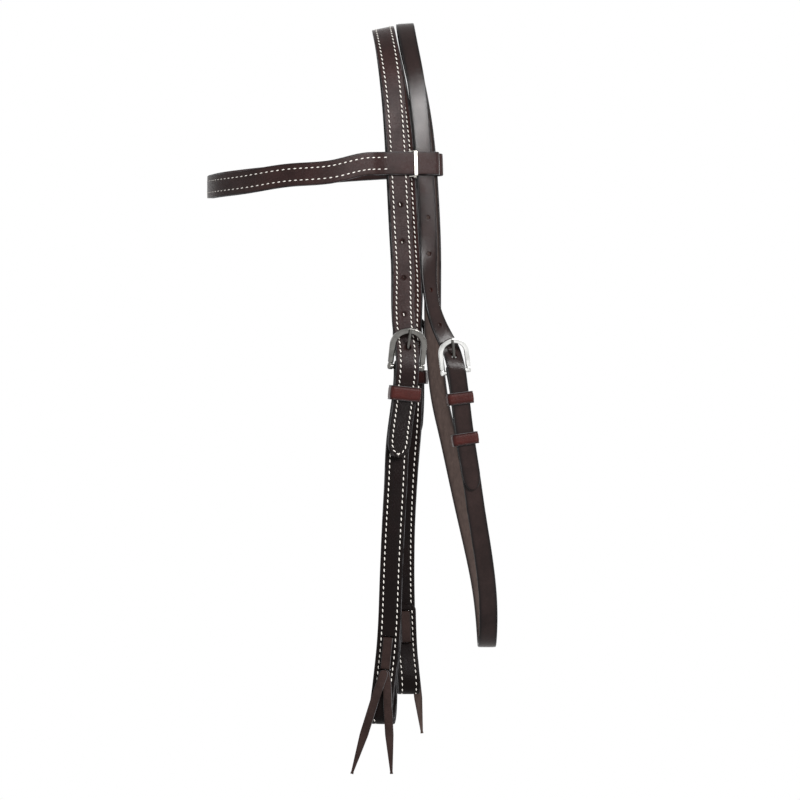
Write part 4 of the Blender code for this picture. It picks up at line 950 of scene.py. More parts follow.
# Lengths from row to row where a strap turns sharply, and round the rings
CHEEK_ROW_STEP, THROAT_ROW_STEP, LOOP_ROW_STEP = 0.8 * MM, 0.7 * MM, 1.0 * MM
RING_STEP, BAND_STEP = 0.5 * MM, 0.8 * MM
# Stitches: the gap to a cheek strap's end, half the gap where two rows meet, and how much narrower a tip is
CHEEK_END_GAP, ROWS_MEET, TIP_NARROWER = 4.0 * MM, 0.3 * MM, 0.5 * MM


def finish(name):
    """A finish made before, by its name."""
    return bpy.data.materials[name]


def rounded_path(wide, tall, radius):
    """Points round a rectangle with quarter circles for corners, anticlockwise in its own plane."""
    angle = np.linspace(0, math.pi / 2, 9)
    parts = []
    for quarter in range(4):
        turned = angle + quarter * math.pi / 2
        middle = (math.copysign(wide / 2 - radius, math.cos(quarter * math.pi / 2 + math.pi / 4)),
                  math.copysign(tall / 2 - radius, math.sin(quarter * math.pi / 2 + math.pi / 4)))
        parts.append(middle + radius * np.stack((np.cos(turned), np.sin(turned)), axis=1))
    return refined(np.concatenate(parts), RING_STEP)


def refined(points, step):
    """A closed outline with points a step apart at most along its straight runs."""
    after = np.roll(points, -1, axis=0)
    counts = np.maximum(1, np.ceil(np.linalg.norm(after - points, axis=1) / step).astype(int))
    which = np.repeat(np.arange(len(points)), counts)
    share = (np.arange(len(which)) - np.repeat(np.cumsum(counts) - counts, counts)) / counts[which]
    return points[which] + (after - points)[which] * share[:, None]


def rounded_corners(points, rounds=2):
    """A closed outline with its corners cut a quarter in, again and again."""
    for _ in range(rounds):
        after = np.roll(points, -1, axis=0)
        points = np.stack((0.75 * points + 0.25 * after, 0.25 * points + 0.75 * after), axis=1)
        points = points.reshape(-1, points.shape[-1])
    return points


def crown_strip(lay):
    """The crown's middle line laid off by a height, with a billet's tip at each end."""
    tip = BILLET_TIP * np.linspace(0, 1, 16) ** 2
    rows = np.concatenate((tip, spaced(BILLET_TIP, CROWN.length - BILLET_TIP)[1:-1],
                           CROWN.length - tip[::-1]))
    point, travel, wide, out = CROWN.frame(rows)
    half = tip_half(np.minimum(rows, CROWN.length - rows), STRAP_WIDTH, BILLET_TIP, BILLET_NOSE)
    return laid(point + out * lay, wide, out[0], half)


def buckle_lines(label):
    """A buckle's slope and face directions and its tongue's path: round the bar, then straight to the rim."""
    width, band, tall = BUCKLES[label]
    point, lift, wide, out = first_frame(LINES[label])
    slope = lift * math.cos(FRAME_TILT) + out * math.sin(FRAME_TILT)
    face = np.cross(wide, slope) * np.sign(np.cross(wide, lift) @ out)
    rest = slope * (tall - band) + face * (FRAME_THICK / 2 + FIT + TONGUE_RADIUS)
    reach = math.hypot(rest @ lift, rest @ out)
    climb = math.atan2(rest @ out, rest @ lift) + math.asin(HOOK_RADIUS / reach)
    around = climb - math.pi / 2 + np.radians(np.linspace(-285, 0, 34))
    hook = HOOK_RADIUS * (np.cos(around)[:, None] * lift + np.sin(around)[:, None] * out)
    prong = rest - hook[-1]
    share = np.linspace(0, 1 + band / np.linalg.norm(prong), 26)[1:, None]
    path = point + np.concatenate((hook, hook[-1] + prong * share))
    return slope, face, path, point + hook[-1], unit(prong)


def billet_holes(label):
    """The places of a billet's holes with their directions: the tongue's slanted one, then the spare ones."""
    band, tall = BUCKLES[label][1:]
    if label == "throat":
        route = THROAT.strap
        start, toward = route.length - THROAT_BILLET - HOLE_RISE_SHARE * tall, -1
    else:
        side = dict(SIDES)[label]
        route = CROWN
        start, toward = route.find_drop(BAR_DROPS[side] - HOLE_RISE_SHARE * tall, side), -side
    root, along = buckle_lines(label)[3:]
    wide = first_frame(LINES[label])[2]
    middle = root + along * CHEEK_FRAME_TALL / 2
    run = along * (CHEEK_FRAME_TALL / 2 - SLANT_LEAD)
    slanted = (middle - run, middle + run, wide, np.cross(along, wide))
    spare = [tuple(v[0] for v in route.frame(start + toward * count * HOLE_PITCH))
             for count in range(1, HOLE_COUNT + 1)]
    return slanted, spare


def hole_cutters(label):
    """Cutters for a billet's tongue hole and its spare holes."""
    slanted, spare = billet_holes(label)
    cutters = [skin(round_rows(*slanted, HOLE_RADIUS))]
    for point, travel, wide, out in spare:
        through = out * 3 * DOUBLE
        cutters.append(skin(round_rows(point - through, point + through, wide, travel, SPARE_RADIUS[label])))
    return cutters


def hole_rims(label, height):
    """A bead round each spare hole, on the billet's face."""
    return [skin(rim_rows(point + out * height, wide, travel, out, SPARE_RADIUS[label], RIM_BEAD), ring=True)
            for point, travel, wide, out in billet_holes(label)[1]]


def wrapped(line, angle):
    """The middle of a ply that turns round its buckle bar, with the strap's direction across."""
    bar, up, side, away = first_frame(line)
    turn = bar + WRAP_RADIUS * (away * np.cos(angle) + up * np.sin(angle))
    return turn, np.tile(side, (len(turn), 1))


def folded_strip(line, rows, halves):
    """A strap folded over its buckle bar: the outer layer from below, half a turn, and the inner layer."""
    point, lift, wide, out = line.frame(rows)
    lay = chape_lay(rows)[:, None]
    turn, side = wrapped(line, np.linspace(0, math.pi, 15)[1:-1, None])
    centre = np.concatenate(((point + out * lay)[::-1], turn, point - out * lay))
    across = np.concatenate((wide[::-1], side, wide))
    half = np.concatenate((halves[::-1], np.full(len(turn), STRAP_WIDTH / 2), halves))
    return laid(centre, across, out[-1], half)


def throat_strip():
    """The throatlatch's one ply: from its chape end up to the bar, round it and down to the billet's tip."""
    route = THROAT.strap
    tip = route.length - BILLET_TIP * np.linspace(1, 0, 16) ** 2
    rows = np.concatenate((spaced(0, OVERRUN * 2, THROAT_ROW_STEP), spaced(OVERRUN * 2, tip[0])[1:], tip[1:]))
    point, travel, wide, inward = route.frame(rows)
    lay = chape_lay(rows) * (1 - ease((rows - THROAT_CHAPE) / (THROAT_CHAPE / 2)))
    outer = point - inward * lay[:, None]
    inner_rows = np.append(rows[rows < THROAT_CHAPE], THROAT_CHAPE)
    inner_point, _, inner_wide, inner_in = route.frame(inner_rows)
    inner = inner_point + inner_in * chape_lay(inner_rows)[:, None]
    turn, side = wrapped(THROAT, np.linspace(math.pi, 0, 15)[1:-1, None])
    centre = np.concatenate((inner[::-1], turn, outer))
    across = np.concatenate((inner_wide[::-1], side, wide))
    half_in = chape_half(THROAT_CHAPE - inner_rows, THROAT_WIDTH)
    half_out = tip_half(route.length - rows, THROAT_WIDTH, BILLET_TIP, BILLET_NOSE)
    half = np.concatenate((half_in[::-1], np.full(len(turn), THROAT_WIDTH / 2), half_out))
    return laid(centre, across, inward[0], half)


def notch_cutter(line):
    """The cutter of the slot that lets a tongue swing round its bar."""
    point, lift, wide, out = first_frame(line)
    size = (2 * (TONGUE_RADIUS + SLACK), NOTCH_DEEP, 2 * (HOOK_RADIUS + TONGUE_RADIUS + SLACK))
    return skin(slot_rows(point, wide, out, lift, size))


def brow_strips():
    """The browband's face ply with its ends turned back, its lining, the face ply between the turns, and the
    middle line."""
    route = BROW.route
    fine = {side: BROW.turn_at[side] + BROW.mouth + BROW_MOUTH for label, side in SIDES}
    point, travel, wide, out = route.frame(spaced(0, route.length))
    outer = point + out * BROW.lay(spaced(0, route.length))[:, None]
    ends, turns = [], []
    for label, side in SIDES:
        back = spaced(0, fine[side] + BROW_LAP)
        rows = route.length - back if side > 0 else back
        p, t, w, o = route.frame(rows)
        ends.append((p - o * BROW.lay(rows)[:, None], w))
        p, t, w, o = (v[0] for v in route.frame(route.length if side > 0 else 0.0))
        angle = np.linspace(0, math.pi, 16)[1:-1, None]
        rear = t if side > 0 else -t
        turns.append((p + BROW.gap * (o * np.cos(angle) + rear * np.sin(angle)), np.tile(w, (14, 1))))
    centre = np.concatenate((ends[0][0][::-1], turns[0][0][::-1], outer, turns[1][0], ends[1][0]))
    across = np.concatenate((ends[0][1][::-1], turns[0][1], wide, turns[1][1], ends[1][1]))
    face = laid(centre, across, -route.frame(fine[-1] + BROW_LAP)[3][0], STRAP_WIDTH / 2)
    rows = spaced(fine[-1] + BROW_LAP + 2 * FIT, route.length - fine[1] - BROW_LAP - 2 * FIT)
    p, t, w, o = route.frame(rows)
    lining = laid(p - o * PLY_OFFSET, w, o[0], STRAP_WIDTH / 2)
    middle = laid(point, wide, out[0], STRAP_WIDTH / 2)
    return face, lining, laid(outer, wide, out[0], STRAP_WIDTH / 2), middle, fine


def band_rows(label):
    """A horseshoe buckle: a squarish oval carried up one leg, round the arch and down the other.

    The oval's points are the shared powers of sine and cosine, and its width follows the heel's shares near
    the bar, so that each leg ends in a neck and a round lug.
    """
    width, band, tall = BUCKLES[label]
    point, lift, wide, out = first_frame(LINES[label])
    slope, face = buckle_lines(label)[:2]
    inner_half = width / 2 + SIDE_SLACK
    leg = inner_half + band / 2
    shoulder = tall - inner_half - band
    rise = np.concatenate((np.array(HEEL_RISE_SHARES) * band, np.linspace(band, shoulder, 9)[1:-1]))
    arch = np.linspace(math.pi, 0, 37)
    x = np.concatenate((np.full(len(rise), -leg), leg * np.cos(arch), np.full(len(rise), leg)))
    y = np.concatenate((rise, shoulder + leg * np.sin(arch), rise[::-1]))
    share = np.interp(np.minimum(y, band), np.array(HEEL_RISE_SHARES) * band, HEEL_WIDE_SHARES)
    travel = unit(np.stack((np.gradient(x), np.gradient(y)), axis=1))
    side = np.stack((-travel[:, 1], travel[:, 0]), axis=1)
    u, v = squarish(once_round(28), 2 / BAND_POWER)
    u, v = u * band / 2, v * FRAME_THICK / 2
    thick = np.minimum(1.0, share + 0.12)
    px = x[:, None] + side[:, :1] * u * share[:, None]
    py = y[:, None] + side[:, 1:] * u * share[:, None]
    pz = v[None] * thick[:, None]
    return point + px[..., None] * wide + py[..., None] * slope + pz[..., None] * face, leg


def wire_rows(path, wide, radii, sides=14):
    """A round wire along a path that keeps one direction across it."""
    travel = unit(np.gradient(path, axis=0))
    other = unit(np.cross(travel, wide))
    angle = once_round(sides)[None, :, None]
    radii = np.asarray(radii)[:, None, None]
    return path[:, None] + radii * (wide * np.cos(angle) + other[:, None] * np.sin(angle))


def tie_directions(line):
    """The tie's slots, and the directions down, outward and across between them."""
    upper, lift, wide, out = first_frame(line, TIE_DOWN)
    lower = first_frame(line, TIE_DOWN + TIE_RUN)[0]
    down = unit(lower - upper)
    face = unit(out - down * (out @ down))
    across = np.cross(down, face)
    return upper, lower, down, face, across * np.sign(across @ wide)


def tie_band_strip(line):
    """The lace between the slots: its closed outline in its own plane, the corners rounded."""
    upper, lower, down, face, across = tie_directions(line)
    run = np.linalg.norm(lower - upper)
    outer = TIE_LAY + LACE_PLY / 2
    ends = TIE_LAY + LACE_PLY / 4
    back = -(HALF_DOUBLE + LOOP_CLOSE_SHARE * LOOP_HALF + TIE_LAY)
    corner = LACE_PLY * 0.8
    outline = np.array([(0, back + corner), (0, ends - corner), (corner, ends), (run * 0.3, outer),
                        (run - corner, outer), (run, outer - corner), (run, back + corner),
                        (run - corner, back), (corner, back)])
    outline = refined(rounded_corners(outline), BAND_STEP)
    return hoop(upper + outline[:, :1] * down + outline[:, 1:] * face, across)


def tie_tail_strip(line, layer, length, sweep, kick):
    """A tapered thong from under the band: it sweeps to one side, with a kick that eases in near its root."""
    upper, lower, down, face, across = tie_directions(line)
    share = np.concatenate(([0, 0.003, 0.008, 0.02], np.linspace(0.03, 1, 46)))[:, None]
    start = lower + down * (LACE_PLY / 2 + FIT)
    lay = TIE_LAY + layer * (LACE_PLY + TAIL_GAP) + LOOP_BULGE * ease(share * length / LOOP_REACH)
    aside = sweep * share + kick * (1 - np.exp(-(share / TAIL_KICK_SHARE) ** 2))
    centre = start + down * length * share + across * aside + face * lay
    taper_from, taper_by = TAIL_TAPER_SHARES
    half = TAIL_ROOT / 2 * (1 - taper_by * np.clip((share[:, 0] - taper_from) / (1 - taper_from), 0, 1))
    half[:4] *= (0.35, 0.6, 0.8, 0.95)
    half[-1] = TAIL_TIP / 2
    travel = unit(np.gradient(centre, axis=0))
    wide = unit(np.cross(travel, face))
    return laid(centre, wide * np.sign(wide @ across)[:, None], face, half)


# The camera's place and focal length in millimetres, and the middle of the headstall
EYE = (0.0118, -2.047, -0.2599)
LENS = 129.5
MIDDLE = (0.0, 0.0, -0.26)
# Lamps: name, power setting, width and height, place
LAMPS = (("key", "key", (0.4, 0.62), (1.11, -1.31, 0.48)),
         ("top", "top", (0.3, 0.3), (0.5, -1.2, 0.5)),
         ("fill", "fill", (0.6, 0.6), (-1.55, -0.65, -0.1)),
         ("back", "fill", (1.0, 1.0), (0.3, 1.4, 0.2)))


class HeadstallLeather(PropertyGroup):
    """Colours of the leather, in linear light"""

    upper: FloatVectorProperty(name="Upper leather", description="Oiled leather from the poll to the buckles",
                               subtype="COLOR", size=3, min=0, max=1, default=(0.030, 0.0145, 0.0135))
    # The leather's colour turns to this darker one lower down.
    lower: FloatVectorProperty(name="Lower leather", description="Darker oiled leather below the buckles",
                               subtype="COLOR", size=3, min=0, max=1, default=(0.0052, 0.0026, 0.0024))
    throat: FloatVectorProperty(name="Throatlatch leather", description="Smooth single leather",
                                subtype="COLOR", size=3, min=0, max=1, default=(0.022, 0.0125, 0.0115))
    flesh: FloatVectorProperty(name="Flesh side", description="Bare inner face of a single ply",
                               subtype="COLOR", size=3, min=0, max=1, default=(0.066, 0.046, 0.040))
    keeper: FloatVectorProperty(name="Keepers", description="Red brown keeper leather",
                                subtype="COLOR", size=3, min=0, max=1, default=(0.075, 0.016, 0.013))
    lace: FloatVectorProperty(name="Lace", description="Matt brown lace of the bit ties",
                              subtype="COLOR", size=3, min=0, max=1, default=(0.040, 0.023, 0.020))
    edge: FloatVectorProperty(name="Burnished edge", description="Blackened and rubbed strap edge",
                              subtype="COLOR", size=3, min=0, max=1, default=(0.004, 0.0032, 0.0034))
    cut: FloatVectorProperty(name="Cut leather", description="Leather inside holes and slots",
                             subtype="COLOR", size=3, min=0, max=1, default=(0.050, 0.014, 0.010))


class HeadstallThread(PropertyGroup):
    """Sizes and colour of the stitching"""

    colour: FloatVectorProperty(name="Thread", description="Cream waxed thread", subtype="COLOR", size=3,
                                min=0, max=1, default=(0.95, 0.91, 0.84))
    length: FloatProperty(name="Stitch length", description="Length of one stitch", default=2.5 * MM,
                          min=1 * MM, max=6 * MM, subtype="DISTANCE", unit="LENGTH")
    width: FloatProperty(name="Thread width", description="Width of one stitch", default=0.85 * MM,
                         min=0.4 * MM, max=2 * MM, subtype="DISTANCE", unit="LENGTH")
    crown_pitch: FloatProperty(name="Crown pitch", description="Length from stitch to stitch on the crown",
                               default=3.5 * MM, min=2 * MM, max=8 * MM, subtype="DISTANCE", unit="LENGTH")
    strap_pitch: FloatProperty(name="Strap pitch", description="Length from stitch to stitch elsewhere",
                               default=4.0 * MM, min=2 * MM, max=8 * MM, subtype="DISTANCE", unit="LENGTH")


class HeadstallMetal(PropertyGroup):
    """Colours of the hardware"""

    # The cheek buckles' nickel is darker than the throat buckle's as painted shade, standing in for the
    # leather mirrored in it.
    frame: FloatVectorProperty(name="Cheek buckles", description="Worn nickel of the cheek buckles",
                               subtype="COLOR", size=3, min=0, max=1, default=(0.17, 0.165, 0.155))
    bright: FloatVectorProperty(name="Throat buckle", description="Bright nickel of the throat buckle",
                                subtype="COLOR", size=3, min=0, max=1, default=(0.80, 0.80, 0.78))
    tongue: FloatVectorProperty(name="Tongues", description="Dark steel of the buckle tongues",
                                subtype="COLOR", size=3, min=0, max=1, default=(0.15, 0.145, 0.135))
    divider: FloatVectorProperty(name="Dividers", description="Pale nickel of the browband dividers",
                                 subtype="COLOR", size=3, min=0, max=1, default=(0.95, 0.92, 0.83))


class HeadstallStudio(PropertyGroup):
    """Floor and light"""

    floor: FloatVectorProperty(name="Floor", description="Pale paper floor", subtype="COLOR", size=3, min=0,
                               max=1, default=(0.86, 0.86, 0.86))
    drop: FloatProperty(name="Floor drop", description="Floor below the poll", default=0.66, min=0.55, max=1,
                        subtype="DISTANCE", unit="LENGTH")
    radius: FloatProperty(name="Floor radius", description="Radius of the floor", default=0.8, min=0.4, max=2,
                          subtype="DISTANCE", unit="LENGTH")
    key: FloatProperty(name="Key lamp", description="Power of the key lamp", default=30.0, min=0, max=60,
                       unit="POWER")
    fill: FloatProperty(name="Fill lamp", description="Power of the fill lamp", default=3.0, min=0, max=60,
                        unit="POWER")
    top: FloatProperty(name="Top lamp", description="Power of the lamp above", default=8.0, min=0, max=60,
                       unit="POWER")
    world: FloatProperty(name="World light", description="Strength of the even light", default=0.27, min=0,
                         max=1)


class HEADSTALL_OT_finishes(Operator):
    """Makes the leather, thread and metal finishes"""

    bl_idname = "headstall.finishes"
    bl_label = "Finishes"

    def execute(self, context):
        hide, thread, metal = (context.scene.headstall_leather, context.scene.headstall_thread,
                               context.scene.headstall_metal)
        leather("strap leather", hide.upper, hide.lower, tone(hide.upper, 1.1), hide.edge, 0.30, 0.12)
        leather("cheek leather", hide.upper, hide.lower, tone(hide.upper, 1.1), hide.edge, 0.38, 0.08)
        leather("throat leather", hide.throat, hide.throat, hide.flesh, hide.edge, 0.16, 0.15, 0.8,
                THROAT_CORNER_HIGHLIGHT, 0.35)
        leather("lining leather", hide.upper, hide.lower, tone(hide.upper, 1.15), hide.edge, 0.5, 0.12)
        leather("keeper finish", hide.keeper, tone(hide.keeper, 0.7), hide.flesh, hide.edge, 0.34, 0.12, 0.8)
        # The far keeper's darker copy of the keeper leather is painted shade.
        leather("shaded keeper", tone(hide.keeper, 0.3), tone(hide.keeper, 0.2), hide.flesh, hide.edge,
                0.4, 0.1, 0.8)
        leather("lace finish", hide.lace, tone(hide.lace, 0.8), hide.flesh, tone(hide.lace, 0.45), 0.62, 0.1)
        raw_leather("cut leather", hide.cut)
        raw_leather("edge leather", hide.edge, 0.04)
        waxed_thread("cream thread", thread.colour)
        # Darker nickel on the cheek buckles: painted shade for the leather mirrored in them.
        plated("worn nickel", metal.frame, 0.15)
        plated("bright plate", metal.bright, 0.16)
        plated("tongue steel", metal.tongue, 0.34)
        plated("divider plate", metal.divider, 0.3, 0.3, 0.85)
        return {"FINISHED"}


class HEADSTALL_OT_crown(Operator):
    """Makes the crown's face and lining with their holes, beads and stitching"""

    bl_idname = "headstall.crown"
    bl_label = "Crown"

    def execute(self, context):
        cutters = (hole_cutters("near"), hole_cutters("far"))
        for name, lay, look, slot, grooves in (
                ("crown_face", PLY_OFFSET, "strap leather", "oiled_leather", (GROOVE_DEEP, 0.0)),
                ("crown_lining", -PLY_OFFSET, "lining leather", "flesh_side_leather", (0.0, GROOVE_DEEP))):
            add_strap(name + "_strap", (look, "edge leather"), crown_strip(lay), STRAP_WIDTH, PLY,
                      "headstall", (name,), slot, cutters, grooves=grooves)
        rims = hole_rims("near", HALF_DOUBLE) + hole_rims("far", HALF_DOUBLE)
        add_piece("crown_hole_beads", mesh_of("crown_hole_beads", bulk(rims)), "headstall",
                  look="strap leather")
        middle = crown_strip(0.0)
        pitch = context.scene.headstall_thread.crown_pitch
        add_stitches("crown_stitching", [row for back in (False, True) for row in stitch_run(
            middle, TIP_GAP, middle.length - TIP_GAP, pitch, DOUBLE, back, CROWN_SLANT)], "headstall")
        return {"FINISHED"}


class HEADSTALL_OT_cheeks(Operator):
    """Makes both cheek straps, folded over their buckle bars and turned up as the bit loops"""

    bl_idname = "headstall.cheeks"
    bl_label = "Cheek straps"

    def execute(self, context):
        pitch = context.scene.headstall_thread.strap_pitch
        for label, line in CHEEKS.items():
            end = line.route.length
            rows = np.concatenate((spaced(0, OVERRUN * 2, CHEEK_ROW_STEP), spaced(OVERRUN * 2, TIE_DOWN)[1:],
                                   spaced(TIE_DOWN, end, LOOP_ROW_STEP)[1:]))
            cutters = [notch_cutter(line)]
            for down in (TIE_DOWN, TIE_DOWN + TIE_RUN):
                point, lift, wide, out = first_frame(line, down)
                cutters.append(skin(slot_rows(point, wide, out, lift, (SLOT_WIDE, SLOT_DEEP, SLOT_TALL))))
            folded = folded_strip(line, rows, chape_half(end - rows, STRAP_WIDTH))
            add_strap(label + "_cheek_leather", ("cheek leather", "edge leather"), folded, STRAP_WIDTH, PLY,
                      "headstall", (label + "_cheek_strap",), "oiled_leather", (cutters,),
                      grooves=(GROOVE_DEEP, 0.0))
            down = spaced(0, end)
            point, lift, wide, out = line.frame(down)
            middle = laid(point, wide, out[0], chape_half(end - down, STRAP_WIDTH))
            add_stitches(label + "_cheek_stitching", [row for back in (False, True) for row in stitch_run(
                middle, CHAPE_RUN, end - CHEEK_END_GAP, pitch, DOUBLE, back, CHEEK_SLANT)], "headstall")
        return {"FINISHED"}


class HEADSTALL_OT_throatlatch(Operator):
    """Makes the single ply throatlatch with its billet holes"""

    bl_idname = "headstall.throatlatch"
    bl_label = "Throatlatch"

    def execute(self, context):
        cutters = (hole_cutters("throat"), [notch_cutter(THROAT)])
        # Its widened dark edge band is partly painted shade.
        add_strap("throatlatch_leather", ("throat leather", "edge leather"), throat_strip(), THROAT_WIDTH,
                  PLY, "headstall", ("throatlatch_strap",), "oiled_leather", cutters, insets=THROAT_INSETS,
                  rub=THROAT_DARK_EDGE_AND_SHADE, fall=THROAT_FALL)
        add_piece("throat_hole_beads", mesh_of("throat_hole_beads", bulk(hole_rims("throat", -PLY / 2))),
                  "headstall", look="throat leather")
        return {"FINISHED"}


class HEADSTALL_OT_browband(Operator):
    """Makes the browband: face ply with turned back loops, lining and stitching"""

    bl_idname = "headstall.browband"
    bl_label = "Browband"

    def execute(self, context):
        face, lining, outer, middle, fine = brow_strips()
        for name, node, look, strip, slot, grooves in (
                ("browband_leather", "browband_face", "strap leather", face, "oiled_leather", (0.0, 0.0)),
                ("browband_inner", "browband_lining", "lining leather", lining, "flesh_side_leather",
                 (0.0, GROOVE_DEEP))):
            add_strap(name, (look, "edge leather"), strip, STRAP_WIDTH, PLY, "browband", (node,), slot,
                      grooves=grooves, insets=BROW_INSETS, inset=BROW_INSET)
        pitch = context.scene.headstall_thread.strap_pitch
        runs = [row for strip, on, ply, back in ((outer, RUN_ON, PLY, False), (middle, 0.0, DOUBLE, True))
                for row in stitch_run(strip, fine[-1] - on, strip.length - fine[1] + on, pitch, ply, back,
                                      BROW_SLANT, BROW_INSET)]
        add_stitches("browband_stitching", runs, "browband")
        return {"FINISHED"}


class HEADSTALL_OT_dividers(Operator):
    """Makes the nickel clip that parts each browband loop"""

    bl_idname = "headstall.dividers"
    bl_label = "Browband dividers"

    def execute(self, context):
        outline = rounded_path(2 * BROW.gap + PLY + 2 * FIT + DIVIDER_PLY,
                               STRAP_WIDTH + 2 * FIT + DIVIDER_PLY, 1.5 * DIVIDER_PLY)
        for label, side in SIDES:
            at = BROW.turn_at[side] - (NEAR_DIVIDER_AT if side < 0 else FAR_DIVIDER_AT)
            point, travel, wide, out = first_frame(BROW.route, at if side < 0 else BROW.route.length - at)
            strip = hoop(point + outline[:, :1] * out + outline[:, 1:] * wide, np.cross(out, wide))
            strip.half *= DIVIDER_WIDE / 2
            add_strap(label + "_divider_clip", ("divider plate",), strip, DIVIDER_WIDE, DIVIDER_PLY,
                      "browband", (label + "_browband_divider",), "bright_nickel", ring=True,
                      corner=DIVIDER_CORNER, insets=DIVIDER_INSETS, fall=DIVIDER_FALL)
        return {"FINISHED"}


class HEADSTALL_OT_buckles(Operator):
    """Makes the three horseshoe buckles with their bars and tongues"""

    bl_idname = "headstall.buckles"
    bl_label = "Buckles"

    def execute(self, context):
        # The cheek buckles take the nickel darkened as painted shade.
        for label, name, look in (("near", "near_cheek", "worn nickel"), ("far", "far_cheek", "worn nickel"),
                                  ("throat", "throat", "bright plate")):
            rows, leg = band_rows(label)
            point, lift, wide, out = first_frame(LINES[label])
            across = np.linspace(-leg, leg, 24)
            bar = wire_rows(point + wide * across[:, None], out, np.full(len(across), BAR_RADIUS), 20)
            horseshoe = mesh_of(name + "_horseshoe", bulk((skin(rows), skin(bar))), crease=50.0)
            add_piece(name + "_horseshoe", horseshoe, name + "_frame", (name + "_buckle_frame",),
                      look)
            path = buckle_lines(label)[2]
            share = np.linspace(0, 1, len(path))
            radii = PRONG_RADIUS * np.minimum(1, 1.02 - 0.4 * np.clip((share - 0.75) / 0.25, 0, 1) ** 2)
            radii[-1] *= 0.6
            prong = mesh_of(name + "_prong", skin(wire_rows(path, wide, radii)), crease=60.0)
            add_piece(name + "_prong", prong, name + "_tongue", (name + "_buckle_tongue",),
                      "tongue steel")
        return {"FINISHED"}


class HEADSTALL_OT_keepers(Operator):
    """Makes the four leather keepers"""

    bl_idname = "headstall.keepers"
    bl_label = "Keepers"

    def execute(self, context):
        cheek = (KEEPER_DROP, KEEPER_TALL, (DOUBLE + FIT) / 2, 2 * DOUBLE + FIT)
        throat = (THROAT_KEEPER_TALL, (PLY + FIT) / 2, DOUBLE + FIT + PLY)
        fixed, sliding = (THROAT_KEEPER_DROP, *throat), (SLIDER_DROP, *throat)
        for name, body, label, look, (down, tall, middle, thick) in (
                ("near_cheek_keeper", "headstall", "near", "keeper finish", cheek),
                # The far keeper takes the copy darkened as painted shade.
                ("far_cheek_keeper", "headstall", "far", "shaded keeper", cheek),
                ("throat_fixed_keeper", "headstall", "throat", "keeper finish", fixed),
                ("throat_sliding_keeper", "throat_slider", "throat", "keeper finish", sliding)):
            point, lift, wide, out = first_frame(LINES[label], down)
            outline = rounded_path(BUCKLES[label][0] + 2 * SIDE_SLACK + KEEPER_PLY,
                                   thick + 2 * SLACK + KEEPER_PLY, KEEPER_CORNER - KEEPER_PLY / 2)
            centre = point + out * middle + outline[:, :1] * wide + outline[:, 1:] * out
            strip = hoop(centre, np.cross(wide, out))
            strip.half *= tall / 2
            add_strap(name + "_loop", (look, "edge leather"), strip, tall, KEEPER_PLY, body, (name,),
                      "keeper_leather", ring=True, insets=KEEPER_INSETS, corner=KEEPER_EASE, fall=KEEPER_FALL,
                      grooves=(CREASE_DEEP, 0.0), inset=KEEPER_CREASE, rub=KEEPER_RUB)
        return {"FINISHED"}


class HEADSTALL_OT_ties(Operator):
    """Makes the lace bands and tails that close the bit loops"""

    bl_idname = "headstall.ties"
    bl_label = "Bit ties"

    def execute(self, context):
        finer = {"insets": LACE_INSETS, "corner": LACE_CORNER, "fall": LACE_FALL}
        for label, side in SIDES:
            line = CHEEKS[label]
            strip = tie_band_strip(line)
            strip.half *= LACE_WIDTH / 2
            add_strap(label + "_tie_lace", ("lace finish",), strip, LACE_WIDTH, LACE_PLY, "headstall",
                      (label + "_tie_band",), "lace_leather", ring=True, **finer)
            for layer, which in enumerate(("rear", "front")):
                add_strap(f"{label}_{which}_thong", ("lace finish",),
                          tie_tail_strip(line, layer, *TAILS[which, side]), TAIL_ROOT, LACE_PLY,
                          f"{label}_{which}_tail", (f"{label}_tie_{which}_tail",), "lace_leather", **finer)
        return {"FINISHED"}


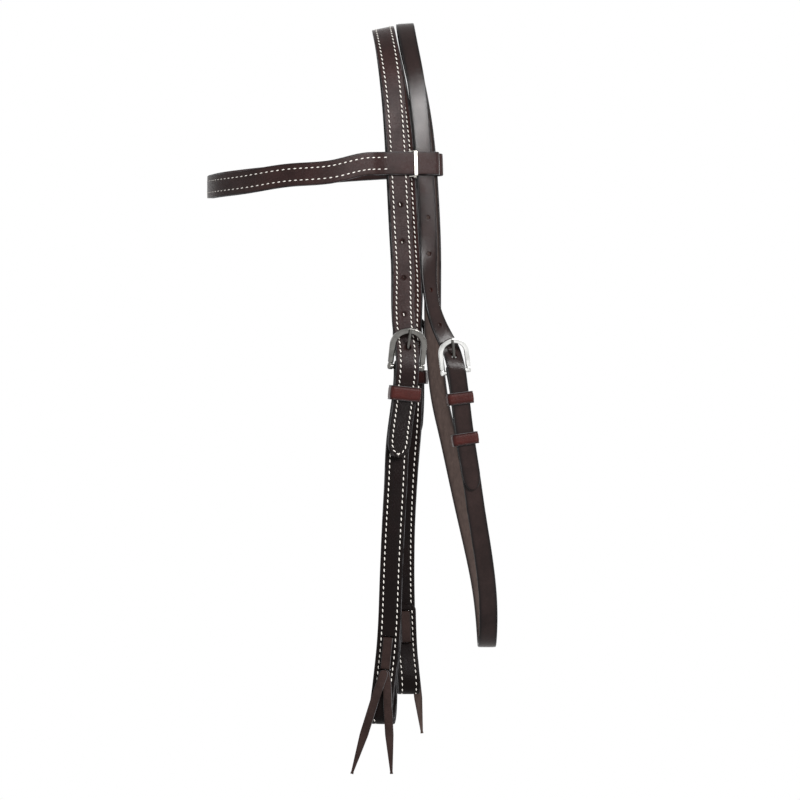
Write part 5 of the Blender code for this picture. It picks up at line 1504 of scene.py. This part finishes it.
class HEADSTALL_OT_stage(Operator):
    """Makes the floor, the lamps, the world and the camera"""

    bl_idname = "headstall.stage"
    bl_label = "Stage"

    def execute(self, context):
        scene = context.scene
        studio = scene.headstall_studio
        scene.view_settings.view_transform = "Standard"
        self.floor(studio)
        for name, power, size, spot in LAMPS:
            self.lamp(name, getattr(studio, power), size, spot)
        self.surroundings(scene, studio.world)
        eye = bpy.data.objects.new("camera", bpy.data.cameras.new("camera"))
        eye.location = EYE
        eye.rotation_euler = (math.pi / 2, 0, 0)
        eye.data.sensor_width = 36.0
        eye.data.lens = LENS
        eye.data.clip_start = 0.05
        scene.collection.objects.link(eye)
        scene.camera = eye
        return {"FINISHED"}

    def floor(self, studio):
        """A round sheet of paper under the headstall: circles of points about its middle."""
        angle = once_round(96)
        radius = np.linspace(0.01, studio.radius, 12)[:, None]
        height = np.full((len(radius), len(angle)), -studio.drop)
        rings = np.stack((radius * np.cos(angle), radius * np.sin(angle), height), axis=-1)
        points, faces = skin(rings)
        mesh = bpy.data.meshes.new("paper_floor")
        mesh.from_pydata(points.tolist(), [], faces[:-1])
        mesh.materials.append(studio_floor("floor paper", studio.floor))
        made = bpy.data.objects.new("paper_floor", mesh)
        bpy.context.scene.collection.objects.link(made)

    def lamp(self, name, power, size, spot):
        """A lamp, so wide and so tall, that looks at the middle of the headstall."""
        light = bpy.data.lights.new(name, "AREA")
        light.energy = power
        light.shape = "RECTANGLE"
        light.size, light.size_y = size
        made = bpy.data.objects.new(name, light)
        made.location = spot
        aim = Vector(MIDDLE) - Vector(spot)
        made.rotation_euler = aim.to_track_quat("-Z", "Y").to_euler()
        bpy.context.scene.collection.objects.link(made)

    def surroundings(self, scene, strength):
        """White for the camera, for gloss and through glass, and an even light on everything else."""
        world = bpy.data.worlds.new("studio")
        scene.world = world
        world.use_nodes = True
        tree = world.node_tree
        back = tree.nodes["Background"]
        back.inputs["Color"].default_value = (1, 1, 1, 1)
        path = tree.nodes.new("ShaderNodeLightPath")
        seen = None
        for ray in ("Is Camera Ray", "Is Glossy Ray", "Is Transmission Ray"):
            if seen is None:
                seen = path.outputs[ray]
                continue
            most = tree.nodes.new("ShaderNodeMath")
            most.operation = "MAXIMUM"
            tree.links.new(seen, most.inputs[0])
            tree.links.new(path.outputs[ray], most.inputs[1])
            seen = most.outputs[0]
        level = tree.nodes.new("ShaderNodeMapRange")
        level.inputs["To Min"].default_value = strength
        level.inputs["To Max"].default_value = 1.0
        tree.links.new(seen, level.inputs["Value"])
        tree.links.new(level.outputs["Result"], back.inputs["Strength"])


OPERATORS = (HEADSTALL_OT_finishes, HEADSTALL_OT_crown, HEADSTALL_OT_cheeks, HEADSTALL_OT_throatlatch,
             HEADSTALL_OT_browband, HEADSTALL_OT_dividers, HEADSTALL_OT_buckles, HEADSTALL_OT_keepers,
             HEADSTALL_OT_ties, HEADSTALL_OT_stage)
GROUPS = {"headstall_leather": HeadstallLeather, "headstall_thread": HeadstallThread,
          "headstall_metal": HeadstallMetal, "headstall_studio": HeadstallStudio}


class HEADSTALL_PT_panel(Panel):
    """Lists the headstall's settings and the operators that make it"""

    bl_idname = "HEADSTALL_PT_panel"
    bl_label = "Headstall"
    bl_space_type = "VIEW_3D"
    bl_region_type = "UI"
    bl_category = "Headstall"

    def draw(self, context):
        for key, group in GROUPS.items():
            box = self.layout.box()
            for setting in group.__annotations__:
                box.prop(getattr(context.scene, key), setting)
        for operator in OPERATORS:
            self.layout.operator(operator.bl_idname)


def register():
    for kind in (*GROUPS.values(), *OPERATORS, HEADSTALL_PT_panel):
        bpy.utils.register_class(kind)
    for key, group in GROUPS.items():
        setattr(bpy.types.Scene, key, PointerProperty(type=group))


def unregister():
    for key in GROUPS:
        delattr(bpy.types.Scene, key)
    for kind in reversed((*GROUPS.values(), *OPERATORS, HEADSTALL_PT_panel)):
        bpy.utils.unregister_class(kind)


def main():
    """Registers the classes and makes every piece in order."""
    register()
    for operator in OPERATORS:
        call = operator.bl_idname.split(".")[1]
        getattr(bpy.ops.headstall, call)()


if __name__ == "__main__":
    main()
